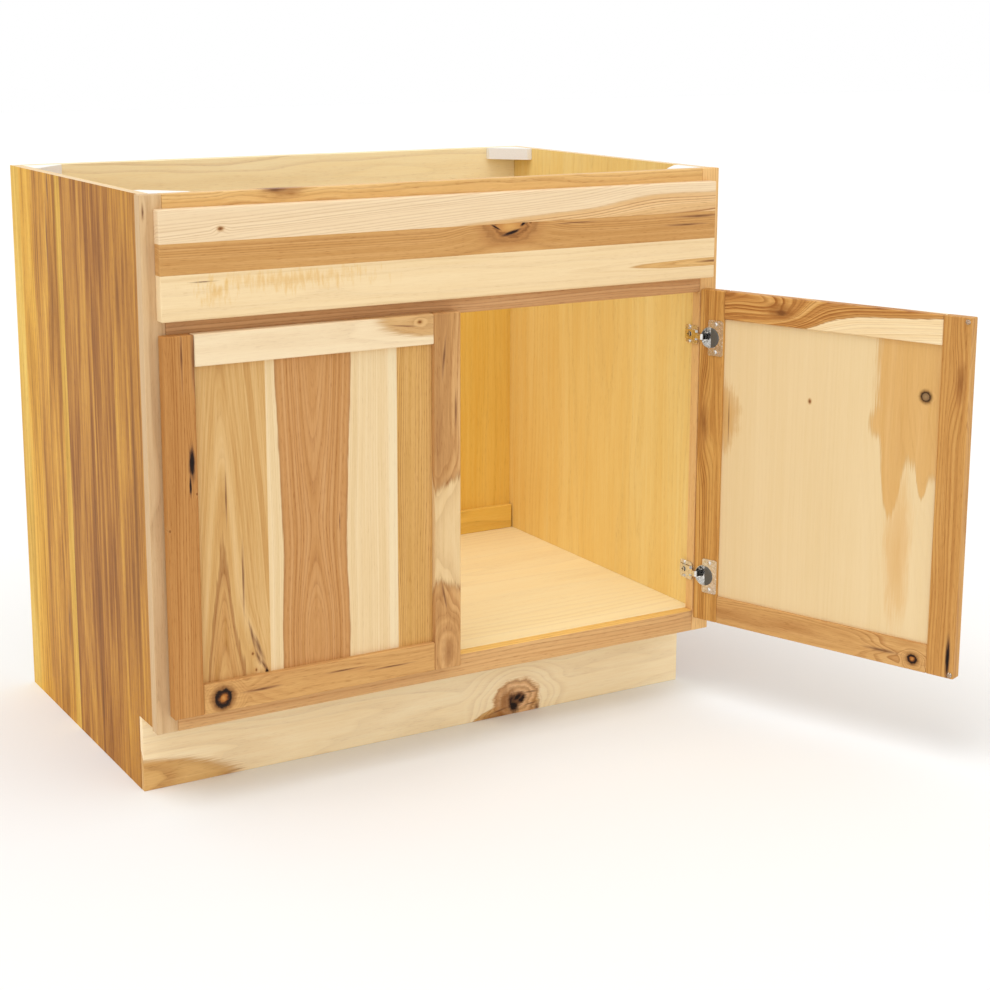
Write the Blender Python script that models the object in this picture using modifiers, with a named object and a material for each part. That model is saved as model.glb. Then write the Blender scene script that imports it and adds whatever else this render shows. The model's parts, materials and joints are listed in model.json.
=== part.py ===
"""Face-frame sink base cabinet: open-topped carcass, fixed false front and two hinged doors.

Metres, +Z up, +X to the cabinet's right as seen from the front, front towards -Y.
The origin is on the floor, under the middle of the toe-kick board.
"""
import math

import bmesh
import bpy
from mathutils import Matrix, Vector

# Overall sizes
CABINET_WIDTH = 0.9652
CABINET_DEPTH = 0.6096
CABINET_HEIGHT = 0.8763
TOE_HEIGHT = 0.1143
TOE_DEPTH = 0.0762

# Clearance between neighbouring pieces
FIT = 0.0003

# Carcass boards
SIDE_THICK = 0.0159
FLOOR_THICK = 0.0127
BACK_THICK = 0.0064
DADO_DEPTH = 0.0064
TOE_BOARD_THICK = 0.0095
NAILER_THICK = 0.0127
UPPER_NAILER_HEIGHT = 0.0889
LOWER_NAILER_HEIGHT = 0.0445
LOWER_NAILER_SHORT = 0.0025

# Face frame
FRAME_THICK = 0.01905
FRAME_OVERHANG = 0.0048
STILE_WIDTH = 0.03175
TOP_RAIL_HEIGHT = 0.0381
MIDDLE_RAIL_HEIGHT = 0.0381
BOTTOM_RAIL_HEIGHT = 0.0349
TENON_LENGTH = 0.0095
TENON_THICK = 0.0064
TENON_SHOULDER = 0.005
FRAME_EASE = 0.0008

# Fronts
SIDE_OVERLAY = 0.0127
TOP_REVEAL = 0.01905
BOTTOM_REVEAL = 0.0254
FALSE_FRONT_HEIGHT = 0.1524
FRONT_SPACING = 0.01905
FRONT_THICK = 0.01905
DOOR_OVERLAP_ON_MIDDLE_RAIL = 0.0058
DOORS_GAP = 0.003
FRONT_EASE = 0.0015
CLEAT_WIDTH = 0.0381
CLEAT_THICK = 0.0127
CLEAT_INSET = 0.180

# Door frame and panel
DOOR_MEMBER_WIDTH = 0.0445
DOOR_PANEL_THICK = 0.0055
DOOR_BACK_RECESS = 0.005
DOOR_GROOVE_DEPTH = 0.0055
DOOR_FRAME_GAP = 0.0035
DOOR_EASE = 0.0012
BUMPER_RADIUS = 0.004
BUMPER_INSET = 0.006

# Corner braces
BRACE_LEG = 0.060
BRACE_END = 0.009
BRACE_HEIGHT = 0.020
BRACE_WALL = 0.0025

# Hinges
DOOR_OPENING_DEG = 110.0
HINGE_FROM_DOOR_END = 0.0762
PIVOT_FROM_DOOR_EDGE = 0.007
PIVOT_DEPTH_IN_DOOR = 0.008
CUP_RADIUS = 0.0175
CUP_SETBACK = 0.003
CUP_DEPTH = 0.013
CUP_WALL = 0.0008
RIM_PROUD = 0.0015
FLANGE_NEAR = 0.017
FLANGE_FAR = 0.044
FLANGE_HEIGHT = 0.057
FLANGE_CORNER = 0.003
FLANGE_HOLE_RADIUS = 0.0021
FLANGE_HOLE_FROM_EDGE = 0.030
FLANGE_HOLES_APART = 0.045
ARM_WIDTH = 0.009
ARM_THICK = 0.0022
ARM_TAIL_WIDTH = 0.016
ARM_TAIL_START = 0.004
ARM_TAIL_END = 0.030
KNUCKLE_RADIUS = 0.0022
PIN_RADIUS = 0.001
LUG_THICK = 0.0024
LUG_REACH = 0.0025
PLATE_THICK = 0.002
PLATE_HEIGHT = 0.030
PLATE_FRONT = 0.0005
PLATE_DEPTH = 0.0325
PLATE_CORNER = 0.004
PLATE_SLOT_WIDTH = 0.0040
PLATE_SLOT_LENGTH = 0.0070
PLATE_SLOT_FROM_FRONT = 0.022
PLATE_SLOTS_APART = 0.023
CAM_RADIUS = 0.0042
CAM_HEAD = 0.0014
CAM_FROM_FRONT = 0.020
CAM_SLOT_LENGTH = 0.0059
CAM_SLOT_WIDTH = 0.0012
CAM_SLOT_DEPTH = 0.0008
DAMPER_NEAR = 0.0218
DAMPER_PROUD = 0.0012
DAMPER_EASE = 0.0015

# Places worked out from the sizes above
FRONT_Y = -(TOE_DEPTH + TOE_BOARD_THICK / 2)
BACK_Y = FRONT_Y + CABINET_DEPTH
FRAME_BACK_Y = FRONT_Y + FRAME_THICK
HALF_WIDTH = CABINET_WIDTH / 2
SIDE_OUTER = HALF_WIDTH - FRAME_OVERHANG
SIDE_INNER = SIDE_OUTER - SIDE_THICK
OPENING_HALF = HALF_WIDTH - STILE_WIDTH
BACK_FACE_Y = BACK_Y - BACK_THICK
NAILER_FACE_Y = BACK_FACE_Y - FIT - NAILER_THICK
FLOOR_TOP = TOE_HEIGHT + BOTTOM_RAIL_HEIGHT

FRONTS_EDGE = OPENING_HALF + SIDE_OVERLAY
FALSE_FRONT_TOP = CABINET_HEIGHT - TOP_REVEAL
FALSE_FRONT_BOTTOM = FALSE_FRONT_TOP - FALSE_FRONT_HEIGHT
DOOR_TOP = FALSE_FRONT_BOTTOM - FRONT_SPACING
DOOR_BOTTOM = TOE_HEIGHT + BOTTOM_REVEAL
DOOR_WIDTH = FRONTS_EDGE - DOORS_GAP / 2
MIDDLE_RAIL_BOTTOM = DOOR_TOP - DOOR_OVERLAP_ON_MIDDLE_RAIL

PIVOT_X = FRONTS_EDGE - PIVOT_FROM_DOOR_EDGE
PIVOT_BEFORE_FRAME = DOOR_FRAME_GAP + PIVOT_DEPTH_IN_DOOR
PIVOT_Y = FRONT_Y - PIVOT_BEFORE_FRAME
HINGE_HEIGHTS = {"upper": DOOR_TOP - HINGE_FROM_DOOR_END, "lower": DOOR_BOTTOM + HINGE_FROM_DOOR_END}
CUP_CENTRE = CUP_SETBACK + CUP_RADIUS
CUP_BORE_DEPTH = CUP_DEPTH + FIT
CUP_INNER_RADIUS = CUP_RADIUS - CUP_WALL

# Facets on a full round
ROUND_STEPS = 32
SMALL_ROUND_STEPS = 16
CORNER_STEPS = 3
SHARP_EDGE_DEG = 40

for leftover in list(bpy.data.objects):
    bpy.data.objects.remove(leftover)


def collection(name):
    group = bpy.data.collections.new(name)
    bpy.context.scene.collection.children.link(group)
    return group


PARTS = collection("sink_base_cabinet")
CUTTERS = collection("cutters")


# Looks: linear colour, roughness, metallic
HICKORY = ((0.58, 0.36, 0.16), 0.5, 0.0)
PALE_HICKORY = ((0.80, 0.62, 0.37), 0.5, 0.0)
VENEER = ((0.50, 0.27, 0.07), 0.5, 0.0)
MAPLE_PLY = ((0.74, 0.49, 0.17), 0.45, 0.0)
WHITE_PLASTIC = ((0.86, 0.86, 0.84), 0.4, 0.0)
CLEAR_RUBBER = ((0.85, 0.86, 0.86), 0.15, 0.0)
DARK_PLASTIC = ((0.035, 0.035, 0.032), 0.5, 0.0)
NICKEL = ((0.62, 0.60, 0.56), 0.3, 1.0)


def finish(name, look):
    """A Principled material with one of the looks above."""
    colour, roughness, metallic = look
    material = bpy.data.materials.new(name)
    material.use_nodes = True
    shader = material.node_tree.nodes["Principled BSDF"]
    shader.inputs["Base Color"].default_value = (*colour, 1.0)
    shader.inputs["Roughness"].default_value = roughness
    shader.inputs["Metallic"].default_value = metallic
    return material


def add_part(name, mesh, material, place=Matrix.Identity(4), parent=None):
    """Link one sub-part; place is its matrix under the parent."""
    part = bpy.data.objects.new(name, mesh)
    PARTS.objects.link(part)
    part.parent = parent
    part.matrix_local = place
    mesh.materials.append(material)
    return part


def add_cutter(name, mesh, place, parent=None):
    cutter = bpy.data.objects.new(name, mesh)
    CUTTERS.objects.link(cutter)
    cutter.parent = parent
    cutter.matrix_local = place
    cutter.hide_render = True
    cutter.display_type = "WIRE"
    return cutter


def box_mesh(name, size):
    """A box of the given size, centred on its own origin."""
    bm = bmesh.new()
    bmesh.ops.create_cube(bm, size=1.0, matrix=Matrix.Diagonal((*size, 1.0)))
    mesh = bpy.data.meshes.new(name)
    bm.to_mesh(mesh)
    bm.free()
    return mesh


def span(low, high):
    """Size and placing matrix of the box between two corners, given in any order."""
    low, high = Vector(low), Vector(high)
    size = [abs(b - a) for a, b in zip(low, high)]
    return size, Matrix.Translation((low + high) / 2)


def ease_edges(part, width, segments=1):
    bevel = part.modifiers.new("eased edges", "BEVEL")
    bevel.width = width
    bevel.segments = segments
    bevel.limit_method = "ANGLE"


def board(name, low, high, material, ease=0.0, parent=None):
    """A sawn board between two corners, with eased edges."""
    size, place = span(low, high)
    part = add_part(name, box_mesh(name, size), material, place, parent)
    if ease:
        ease_edges(part, ease)
    return part


def boolean(part, other, operation):
    modifier = part.modifiers.new(other.name, "BOOLEAN")
    modifier.operation = operation
    modifier.object = other


def cut_box(part, label, low, high, parent=None):
    size, place = span(low, high)
    name = part.name + "." + label
    boolean(part, add_cutter(name, box_mesh(name, size), place, parent), "DIFFERENCE")


def join_box(part, label, low, high, parent=None):
    size, place = span(low, high)
    name = part.name + "." + label
    boolean(part, add_cutter(name, box_mesh(name, size), place, parent), "UNION")


def round_mesh(name, radius, depth, steps):
    """A cylinder along Z, centred on its own origin."""
    bm = bmesh.new()
    bmesh.ops.create_cone(bm, cap_ends=True, segments=steps, radius1=radius, radius2=radius, depth=depth)
    mesh = bpy.data.meshes.new(name)
    bm.to_mesh(mesh)
    bm.free()
    mesh.shade_smooth()
    mesh.set_sharp_from_angle(angle=math.radians(SHARP_EDGE_DEG))
    return mesh


def along_y(centre, low, high):
    """Place a Z cylinder so that it runs along Y from low to high through the centre (x, z)."""
    x, z = centre
    return Matrix.Translation((x, (low + high) / 2, z)) @ Matrix.Rotation(math.pi / 2, 4, "X")


def outline_mesh(name, loops, thickness):
    """A flat plate from closed outlines in XY, the first one outer, centred on z = 0."""
    curve = bpy.data.curves.new(name, "CURVE")
    curve.dimensions = "2D"
    curve.fill_mode = "BOTH"
    curve.extrude = thickness / 2
    for loop in loops:
        spline = curve.splines.new("POLY")
        spline.points.add(len(loop) - 1)
        for point, (x, y) in zip(spline.points, loop):
            point.co = (x, y, 0.0, 1.0)
        spline.use_cyclic_u = True
    drawing = bpy.data.objects.new(name, curve)
    bpy.context.scene.collection.objects.link(drawing)
    evaluated = drawing.evaluated_get(bpy.context.evaluated_depsgraph_get())
    mesh = bpy.data.meshes.new_from_object(evaluated)
    bpy.data.objects.remove(drawing)
    bm = bmesh.new()
    bm.from_mesh(mesh)
    bmesh.ops.remove_doubles(bm, verts=bm.verts, dist=1e-6)
    bmesh.ops.recalc_face_normals(bm, faces=bm.faces)
    bm.to_mesh(mesh)
    bm.free()
    return mesh


def arc(centre, radius, start_deg, end_deg, steps):
    """Points on an arc, both ends included."""
    points = []
    for i in range(steps + 1):
        angle = math.radians(start_deg + (end_deg - start_deg) * i / steps)
        points.append((centre[0] + radius * math.cos(angle), centre[1] + radius * math.sin(angle)))
    return points


def rounded_rectangle(low, high, corner):
    """Outline of a rectangle with round corners, anticlockwise from the lower right."""
    (x0, y0), (x1, y1) = low, high
    centres = ((x1 - corner, y0 + corner), (x1 - corner, y1 - corner),
               (x0 + corner, y1 - corner), (x0 + corner, y0 + corner))
    points = []
    for quarter, centre in enumerate(centres):
        points += arc(centre, corner, 90 * quarter - 90, 90 * quarter, CORNER_STEPS)
    return points


def make_side_panel(name, side):
    """A side stands on the floor; it is notched for the toe space and grooved for floor and back."""
    front = FRAME_BACK_Y + FIT
    panel = board(name, (side * SIDE_INNER, front, 0), (side * SIDE_OUTER, BACK_Y, CABINET_HEIGHT),
                  finish(name, VENEER))
    beyond = SIDE_THICK
    notch_back = FRONT_Y + TOE_DEPTH + TOE_BOARD_THICK + FIT
    cut_box(panel, "toe_notch", (side * (SIDE_INNER - beyond), front - beyond, -beyond),
            (side * (SIDE_OUTER + beyond), notch_back, TOE_HEIGHT))
    groove = side * (SIDE_INNER + DADO_DEPTH)
    inside = side * (SIDE_INNER - beyond)
    cut_box(panel, "floor_dado", (inside, front - beyond, FLOOR_TOP - FLOOR_THICK - FIT),
            (groove, BACK_Y + beyond, FLOOR_TOP + FIT))
    cut_box(panel, "back_rabbet", (inside, BACK_FACE_Y - FIT, -beyond),
            (groove, BACK_Y + beyond, CABINET_HEIGHT + beyond))
    return panel


def make_carcass():
    for name, side in (("left_side_panel", -1), ("right_side_panel", 1)):
        make_side_panel(name, side)
    seat = SIDE_INNER + DADO_DEPTH - FIT
    board("floor_panel", (-seat, FRAME_BACK_Y + FIT, FLOOR_TOP - FLOOR_THICK),
          (seat, BACK_FACE_Y - FIT, FLOOR_TOP), finish("floor_panel", MAPLE_PLY))
    board("back_panel", (-seat, BACK_FACE_Y, 0), (seat, BACK_Y, CABINET_HEIGHT),
          finish("back_panel", MAPLE_PLY))
    nailer = finish("nailer", MAPLE_PLY)
    reach = SIDE_INNER - FIT
    board("upper_nailer", (-reach, NAILER_FACE_Y, CABINET_HEIGHT - UPPER_NAILER_HEIGHT),
          (reach, BACK_FACE_Y - FIT, CABINET_HEIGHT), nailer, FRAME_EASE)
    board("lower_nailer", (-reach, NAILER_FACE_Y, FLOOR_TOP + FIT),
          (SIDE_INNER - LOWER_NAILER_SHORT, BACK_FACE_Y - FIT, FLOOR_TOP + FIT + LOWER_NAILER_HEIGHT),
          nailer, FRAME_EASE)
    toe_front = FRONT_Y + TOE_DEPTH
    board("toe_kick_board", (-SIDE_OUTER, toe_front, 0),
          (SIDE_OUTER, toe_front + TOE_BOARD_THICK, TOE_HEIGHT - FIT),
          finish("toe_kick_board", PALE_HICKORY), FRAME_EASE)


def make_face_frame():
    """Stiles run full height; the rails are tenoned into them."""
    rails = {"top_rail": (CABINET_HEIGHT - TOP_RAIL_HEIGHT, CABINET_HEIGHT),
             "middle_rail": (MIDDLE_RAIL_BOTTOM, MIDDLE_RAIL_BOTTOM + MIDDLE_RAIL_HEIGHT),
             "bottom_rail": (TOE_HEIGHT, TOE_HEIGHT + BOTTOM_RAIL_HEIGHT)}
    middle_y = (FRONT_Y + FRAME_BACK_Y) / 2
    tenon_front = middle_y - TENON_THICK / 2
    tenon_back = middle_y + TENON_THICK / 2
    tenon_end = OPENING_HALF + TENON_LENGTH
    for name, (low, high) in rails.items():
        rail = board(name, (-OPENING_HALF + FIT, FRONT_Y, low), (OPENING_HALF - FIT, FRAME_BACK_Y, high),
                     finish(name, HICKORY), FRAME_EASE)
        join_box(rail, "tenons", (-tenon_end, tenon_front, low + TENON_SHOULDER),
                 (tenon_end, tenon_back, high - TENON_SHOULDER))
    for name, side in (("left_stile", -1), ("right_stile", 1)):
        stile = board(name, (side * HALF_WIDTH, FRONT_Y, TOE_HEIGHT),
                      (side * OPENING_HALF, FRAME_BACK_Y, CABINET_HEIGHT),
                      finish(name, PALE_HICKORY), FRAME_EASE)
        for rail_name, (low, high) in rails.items():
            cut_box(stile, rail_name + "_mortise",
                    (side * (OPENING_HALF - TENON_LENGTH), tenon_front - FIT, low + TENON_SHOULDER - FIT),
                    (side * (tenon_end + FIT), tenon_back + FIT, high - TENON_SHOULDER + FIT))


def make_false_front():
    """A fixed slab over the upper opening, held by two cleats behind the frame."""
    board("false_front", (-FRONTS_EDGE, FRONT_Y - FIT - FRONT_THICK, FALSE_FRONT_BOTTOM),
          (FRONTS_EDGE, FRONT_Y - FIT, FALSE_FRONT_TOP), finish("false_front", HICKORY), FRONT_EASE)
    material = finish("cleat", MAPLE_PLY)
    near = FRAME_BACK_Y + FIT
    for name, side in (("false_front_cleat_left", -1), ("false_front_cleat_right", 1)):
        centre = side * (OPENING_HALF - CLEAT_INSET)
        board(name, (centre - CLEAT_WIDTH / 2, near, MIDDLE_RAIL_BOTTOM + FIT),
              (centre + CLEAT_WIDTH / 2, near + CLEAT_THICK, CABINET_HEIGHT - TOP_REVEAL),
              material, FRAME_EASE)


def make_corner_braces():
    """Moulded gussets with a web on top, open below; the legs lie on the two walls of the corner."""
    leg, end, wall = BRACE_LEG, BRACE_END, BRACE_WALL
    outer = [(0, 0), (leg, 0), (leg, end), (end, leg), (0, leg)]
    slant = wall * math.sqrt(2)
    inner_end = end + wall - slant
    inner = [(wall, wall), (leg - wall, wall), (leg - wall, inner_end), (inner_end, leg - wall),
             (wall, leg - wall)]
    material = finish("corner_brace", WHITE_PLASTIC)
    walls_y = {"front": FRAME_BACK_Y + FIT, "back": NAILER_FACE_Y - FIT}
    for depth_name, wall_y in walls_y.items():
        for side_name, side in (("left", -1), ("right", 1)):
            name = "corner_brace_%s_%s" % (depth_name, side_name)
            into = 1 if depth_name == "front" else -1
            turn = {(-1, 1): 0, (1, 1): 90, (1, -1): 180, (-1, -1): 270}[(side, into)]
            corner = (side * (SIDE_INNER - FIT), wall_y, CABINET_HEIGHT - BRACE_HEIGHT / 2)
            place = Matrix.Translation(corner) @ Matrix.Rotation(math.radians(turn), 4, "Z")
            brace = add_part(name, outline_mesh(name, [outer], BRACE_HEIGHT), material, place)
            hollow = outline_mesh(name + ".hollow", [inner], BRACE_HEIGHT)
            lowered = place @ Matrix.Translation((0, 0, -wall))
            boolean(brace, add_cutter(name + ".hollow", hollow, lowered), "DIFFERENCE")


def make_door(name, side, rest_deg):
    """A framed door under an empty on its hinge axis, turned to its rest angle.

    Local places count along the door from the hinge edge, and into it from the back face.
    """
    axis = bpy.data.objects.new(name + "_axis", None)
    PARTS.objects.link(axis)
    axis.location = (side * PIVOT_X, PIVOT_Y, 0)
    axis.rotation_euler = (0, 0, side * math.radians(rest_deg))
    bpy.context.view_layer.update()

    def at(from_edge, depth, height):
        return (side * (PIVOT_FROM_DOOR_EDGE - from_edge), PIVOT_DEPTH_IN_DOOR - depth, height)

    def material(piece, look):
        return finish(name + "_" + piece, look)

    beyond = DOOR_MEMBER_WIDTH
    member = DOOR_MEMBER_WIDTH
    inner_far = DOOR_WIDTH - member
    groove_near, groove_far = member - DOOR_GROOVE_DEPTH, inner_far + DOOR_GROOVE_DEPTH
    panel_back = DOOR_BACK_RECESS
    panel_front = DOOR_BACK_RECESS + DOOR_PANEL_THICK

    stiles = {"hinge_stile": (0, member, groove_near, member + FIT),
              "free_stile": (inner_far, DOOR_WIDTH, inner_far - FIT, groove_far)}
    for piece, (near, far, groove_from, groove_to) in stiles.items():
        stile = board(name + "_" + piece, at(near, 0, DOOR_BOTTOM), at(far, FRONT_THICK, DOOR_TOP),
                      material(piece, HICKORY), DOOR_EASE, axis)
        cut_box(stile, "groove", at(groove_from, panel_back - FIT, DOOR_BOTTOM - beyond),
                at(groove_to, panel_front + FIT, DOOR_TOP + beyond), axis)
        if piece == "hinge_stile":
            for level, hinge_z in HINGE_HEIGHTS.items():
                bore_name = "%s_%s.%s_cup_bore" % (name, piece, level)
                bore = round_mesh(bore_name, CUP_RADIUS + FIT, 2 * CUP_BORE_DEPTH, ROUND_STEPS)
                x, back_y, z = at(CUP_CENTRE, 0, hinge_z)
                place = along_y((x, z), back_y - CUP_BORE_DEPTH, back_y + CUP_BORE_DEPTH)
                boolean(stile, add_cutter(bore_name, bore, place, axis), "DIFFERENCE")

    rails = {"top_rail": (DOOR_TOP - member, DOOR_TOP, DOOR_TOP - member),
             "bottom_rail": (DOOR_BOTTOM, DOOR_BOTTOM + member, DOOR_BOTTOM + member)}
    for piece, (low, high, inner) in rails.items():
        rail = board(name + "_" + piece, at(member + FIT, 0, low), at(inner_far - FIT, FRONT_THICK, high),
                     material(piece, HICKORY), DOOR_EASE, axis)
        join_box(rail, "tongues", at(groove_near + FIT, panel_back, low + DOOR_EASE),
                 at(groove_far - FIT, panel_front, high - DOOR_EASE), axis)
        cut_box(rail, "groove", at(-beyond, panel_back - FIT, inner - DOOR_GROOVE_DEPTH),
                at(DOOR_WIDTH + beyond, panel_front + FIT, inner + DOOR_GROOVE_DEPTH), axis)

    panel_low = DOOR_BOTTOM + member - DOOR_GROOVE_DEPTH + FIT
    panel_high = DOOR_TOP - member + DOOR_GROOVE_DEPTH - FIT
    board(name + "_panel", at(groove_near + FIT, panel_back, panel_low),
          at(groove_far - FIT, panel_front, panel_high), material("panel", PALE_HICKORY), 0, axis)

    clear = finish(name + "_bumper", CLEAR_RUBBER)
    for level, height in (("upper", DOOR_TOP - BUMPER_INSET), ("lower", DOOR_BOTTOM + BUMPER_INSET)):
        bumper = "%s_%s_bumper" % (name, level)
        x, back_y, z = at(DOOR_WIDTH - BUMPER_INSET, 0, height)
        place = along_y((x, z), back_y + FIT, back_y + DOOR_FRAME_GAP - FIT)
        mesh = round_mesh(bumper, BUMPER_RADIUS, DOOR_FRAME_GAP - 2 * FIT, SMALL_ROUND_STEPS)
        add_part(bumper, mesh, clear, place, axis)

    for level, hinge_z in HINGE_HEIGHTS.items():
        make_hinge("%s_%s_hinge" % (name, level), side, axis, hinge_z, at)


def strip_outline(path, thickness):
    """Outline of a strip of even thickness along a path that starts at a round eye."""
    half = thickness / 2
    left, right = [], []
    for i, point in enumerate(path):
        before = Vector(path[max(i - 1, 0)])
        after = Vector(path[min(i + 1, len(path) - 1)])
        run = (after - before).normalized()
        across = Vector((-run.y, run.x)) * half
        left.append(tuple(Vector(point) + across))
        right.append(tuple(Vector(point) - across))
    return left + right[::-1]


def make_hinge(name, side, axis, hinge_z, at):
    """Gooseneck hinge: plate, arm and cam on the frame; cup, pin and damper on the door."""
    nickel = finish(name + "_nickel", NICKEL)
    pivot_place = Matrix.Translation((side * PIVOT_X, PIVOT_Y, hinge_z))

    # The plate lies flat on the stile's inner edge and reaches past the back of the frame;
    # its screws pass through two slots that let it shift in and out
    plate_name = name + "_frame_plate"
    plate_loops = [rounded_rectangle((FRONT_Y + PLATE_FRONT, -PLATE_HEIGHT / 2),
                                     (FRONT_Y + PLATE_DEPTH, PLATE_HEIGHT / 2), PLATE_CORNER)]
    slot_y = FRONT_Y + PLATE_SLOT_FROM_FRONT
    slot_run, slot_round = PLATE_SLOT_LENGTH / 2, PLATE_SLOT_WIDTH / 2
    slot_corner = slot_round - FIT
    for slot_z in (-PLATE_SLOTS_APART / 2, PLATE_SLOTS_APART / 2):
        plate_loops.append(rounded_rectangle((slot_y - slot_run, slot_z - slot_round),
                                             (slot_y + slot_run, slot_z + slot_round), slot_corner))
    upright = Matrix(((0, 0, 1, 0), (1, 0, 0, 0), (0, 1, 0, 0), (0, 0, 0, 1)))
    plate_x = OPENING_HALF - FIT - PLATE_THICK / 2
    place = Matrix.Translation((side * plate_x, 0, hinge_z)) @ upright
    add_part(plate_name, outline_mesh(plate_name, plate_loops, PLATE_THICK), nickel, place)

    # The arm's centre line, from the eye out of the cup, round its rim and back along the plate
    tail_x = OPENING_HALF - PLATE_THICK - 2 * FIT - ARM_THICK / 2 - PIVOT_X
    frame_y = PIVOT_BEFORE_FRAME
    rim_radius = math.hypot(PIVOT_FROM_DOOR_EDGE, PIVOT_DEPTH_IN_DOOR)
    bulge_x = -(rim_radius + ARM_THICK / 2 + 2 * FIT)
    dip_y = -(KNUCKLE_RADIUS + FIT)
    bend = -dip_y + FIT
    inside_bend = arc((bulge_x + bend, dip_y + bend), bend, 270, 180, CORNER_STEPS)
    centre_line = [(-KNUCKLE_RADIUS / 2, -KNUCKLE_RADIUS / 2), (-2 * KNUCKLE_RADIUS, dip_y)]
    centre_line += inside_bend
    centre_line += [(bulge_x, KNUCKLE_RADIUS), (tail_x, frame_y - KNUCKLE_RADIUS)]
    centre_line += [(tail_x, frame_y + ARM_TAIL_END)]
    outline = [(side * x, y) for x, y in strip_outline(centre_line, ARM_THICK)]
    arm_name = name + "_arm"
    arm = add_part(arm_name, outline_mesh(arm_name, [outline], ARM_WIDTH), nickel, pivot_place)
    eye_name = arm_name + ".eye"
    eye = round_mesh(eye_name, KNUCKLE_RADIUS, ARM_WIDTH, SMALL_ROUND_STEPS)
    boolean(arm, add_cutter(eye_name, eye, pivot_place), "UNION")
    tail_face = side * (PIVOT_X + tail_x - ARM_THICK / 2)
    tail_back = side * (PIVOT_X + tail_x + ARM_THICK / 2)
    join_box(arm, "tail", (tail_face, FRONT_Y + ARM_TAIL_START, hinge_z - ARM_TAIL_WIDTH / 2),
             (tail_back, FRONT_Y + ARM_TAIL_END, hinge_z + ARM_TAIL_WIDTH / 2))
    hole_name = arm_name + ".pin_hole"
    hole = round_mesh(hole_name, PIN_RADIUS + FIT, 2 * ARM_WIDTH, SMALL_ROUND_STEPS)
    boolean(arm, add_cutter(hole_name, hole, pivot_place), "DIFFERENCE")

    # The cam's head stands on the arm's tail, with a cross slot
    cam_name = name + "_cam_screw"
    cam_y = FRONT_Y + CAM_FROM_FRONT
    cam_x = abs(tail_face) - FIT - CAM_HEAD / 2
    cam_place = Matrix.Translation((side * cam_x, cam_y, hinge_z)) @ Matrix.Rotation(math.pi / 2, 4, "Y")
    head = round_mesh(cam_name, CAM_RADIUS, CAM_HEAD, SMALL_ROUND_STEPS)
    cam = add_part(cam_name, head, nickel, cam_place)
    slot_inner = side * (cam_x - CAM_HEAD)
    slot_floor = side * (cam_x - CAM_HEAD / 2 + CAM_SLOT_DEPTH)
    long_half, short_half = CAM_SLOT_LENGTH / 2, CAM_SLOT_WIDTH / 2
    for label, half_y, half_z in (("slot", long_half, short_half), ("cross_slot", short_half, long_half)):
        cut_box(cam, label, (slot_inner, cam_y - half_y, hinge_z - half_z),
                (slot_floor, cam_y + half_y, hinge_z + half_z))

    # The cup: a drawn shell with a flange on the door's back, and two lugs that carry the pin
    cup_name = name + "_cup"
    hub_x, back_y, hub_z = at(CUP_CENTRE, 0, hinge_z)
    hub = (hub_x, hub_z)
    shell = round_mesh(cup_name, CUP_RADIUS, CUP_DEPTH + RIM_PROUD, ROUND_STEPS)
    cup = add_part(cup_name, shell, nickel, along_y(hub, back_y - CUP_DEPTH, back_y + RIM_PROUD), axis)
    flange_name = cup_name + ".flange"
    near_x, far_x = at(FLANGE_NEAR, 0, 0)[0], at(FLANGE_FAR, 0, 0)[0]
    flange_loops = [rounded_rectangle((min(near_x, far_x), -FLANGE_HEIGHT / 2),
                                      (max(near_x, far_x), FLANGE_HEIGHT / 2), FLANGE_CORNER)]
    hole_x = at(FLANGE_HOLE_FROM_EDGE, 0, 0)[0]
    last_deg = 360 - 360 / SMALL_ROUND_STEPS
    for hole_z in (-FLANGE_HOLES_APART / 2, FLANGE_HOLES_APART / 2):
        flange_loops.append(arc((hole_x, hole_z), FLANGE_HOLE_RADIUS, 0, last_deg, SMALL_ROUND_STEPS - 1))
    flange = outline_mesh(flange_name, flange_loops, RIM_PROUD - FIT)
    flange_place = along_y((0, hinge_z), back_y + FIT, back_y + RIM_PROUD)
    boolean(cup, add_cutter(flange_name, flange, flange_place, axis), "UNION")
    mouth_name = cup_name + ".mouth"
    mouth_depth = CUP_DEPTH - CUP_WALL
    mouth = round_mesh(mouth_name, CUP_INNER_RADIUS, 2 * mouth_depth, ROUND_STEPS)
    mouth_place = along_y(hub, back_y - mouth_depth, back_y + mouth_depth)
    boolean(cup, add_cutter(mouth_name, mouth, mouth_place, axis), "DIFFERENCE")
    lug_inner = ARM_WIDTH / 2 + FIT
    lug_near = CUP_CENTRE - math.sqrt((CUP_RADIUS - CUP_WALL / 2) ** 2 - (lug_inner + LUG_THICK) ** 2)
    for label, way in (("upper_lug", 1), ("lower_lug", -1)):
        join_box(cup, label,
                 at(lug_near, PIVOT_DEPTH_IN_DOOR - LUG_REACH, hinge_z + way * lug_inner),
                 at(PIVOT_FROM_DOOR_EDGE + LUG_REACH, PIVOT_DEPTH_IN_DOOR + LUG_REACH,
                    hinge_z + way * (lug_inner + LUG_THICK)), axis)
    bore_name = cup_name + ".pin_bore"
    pin_length = 2 * (lug_inner + LUG_THICK)
    pin_place = Matrix.Translation((0, 0, hinge_z))
    bore = round_mesh(bore_name, PIN_RADIUS + FIT, pin_length + LUG_THICK, SMALL_ROUND_STEPS)
    boolean(cup, add_cutter(bore_name, bore, pin_place, axis), "DIFFERENCE")

    pin_name = name + "_pin"
    pin = round_mesh(pin_name, PIN_RADIUS, pin_length, SMALL_ROUND_STEPS)
    add_part(pin_name, pin, nickel, pin_place, axis)

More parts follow.
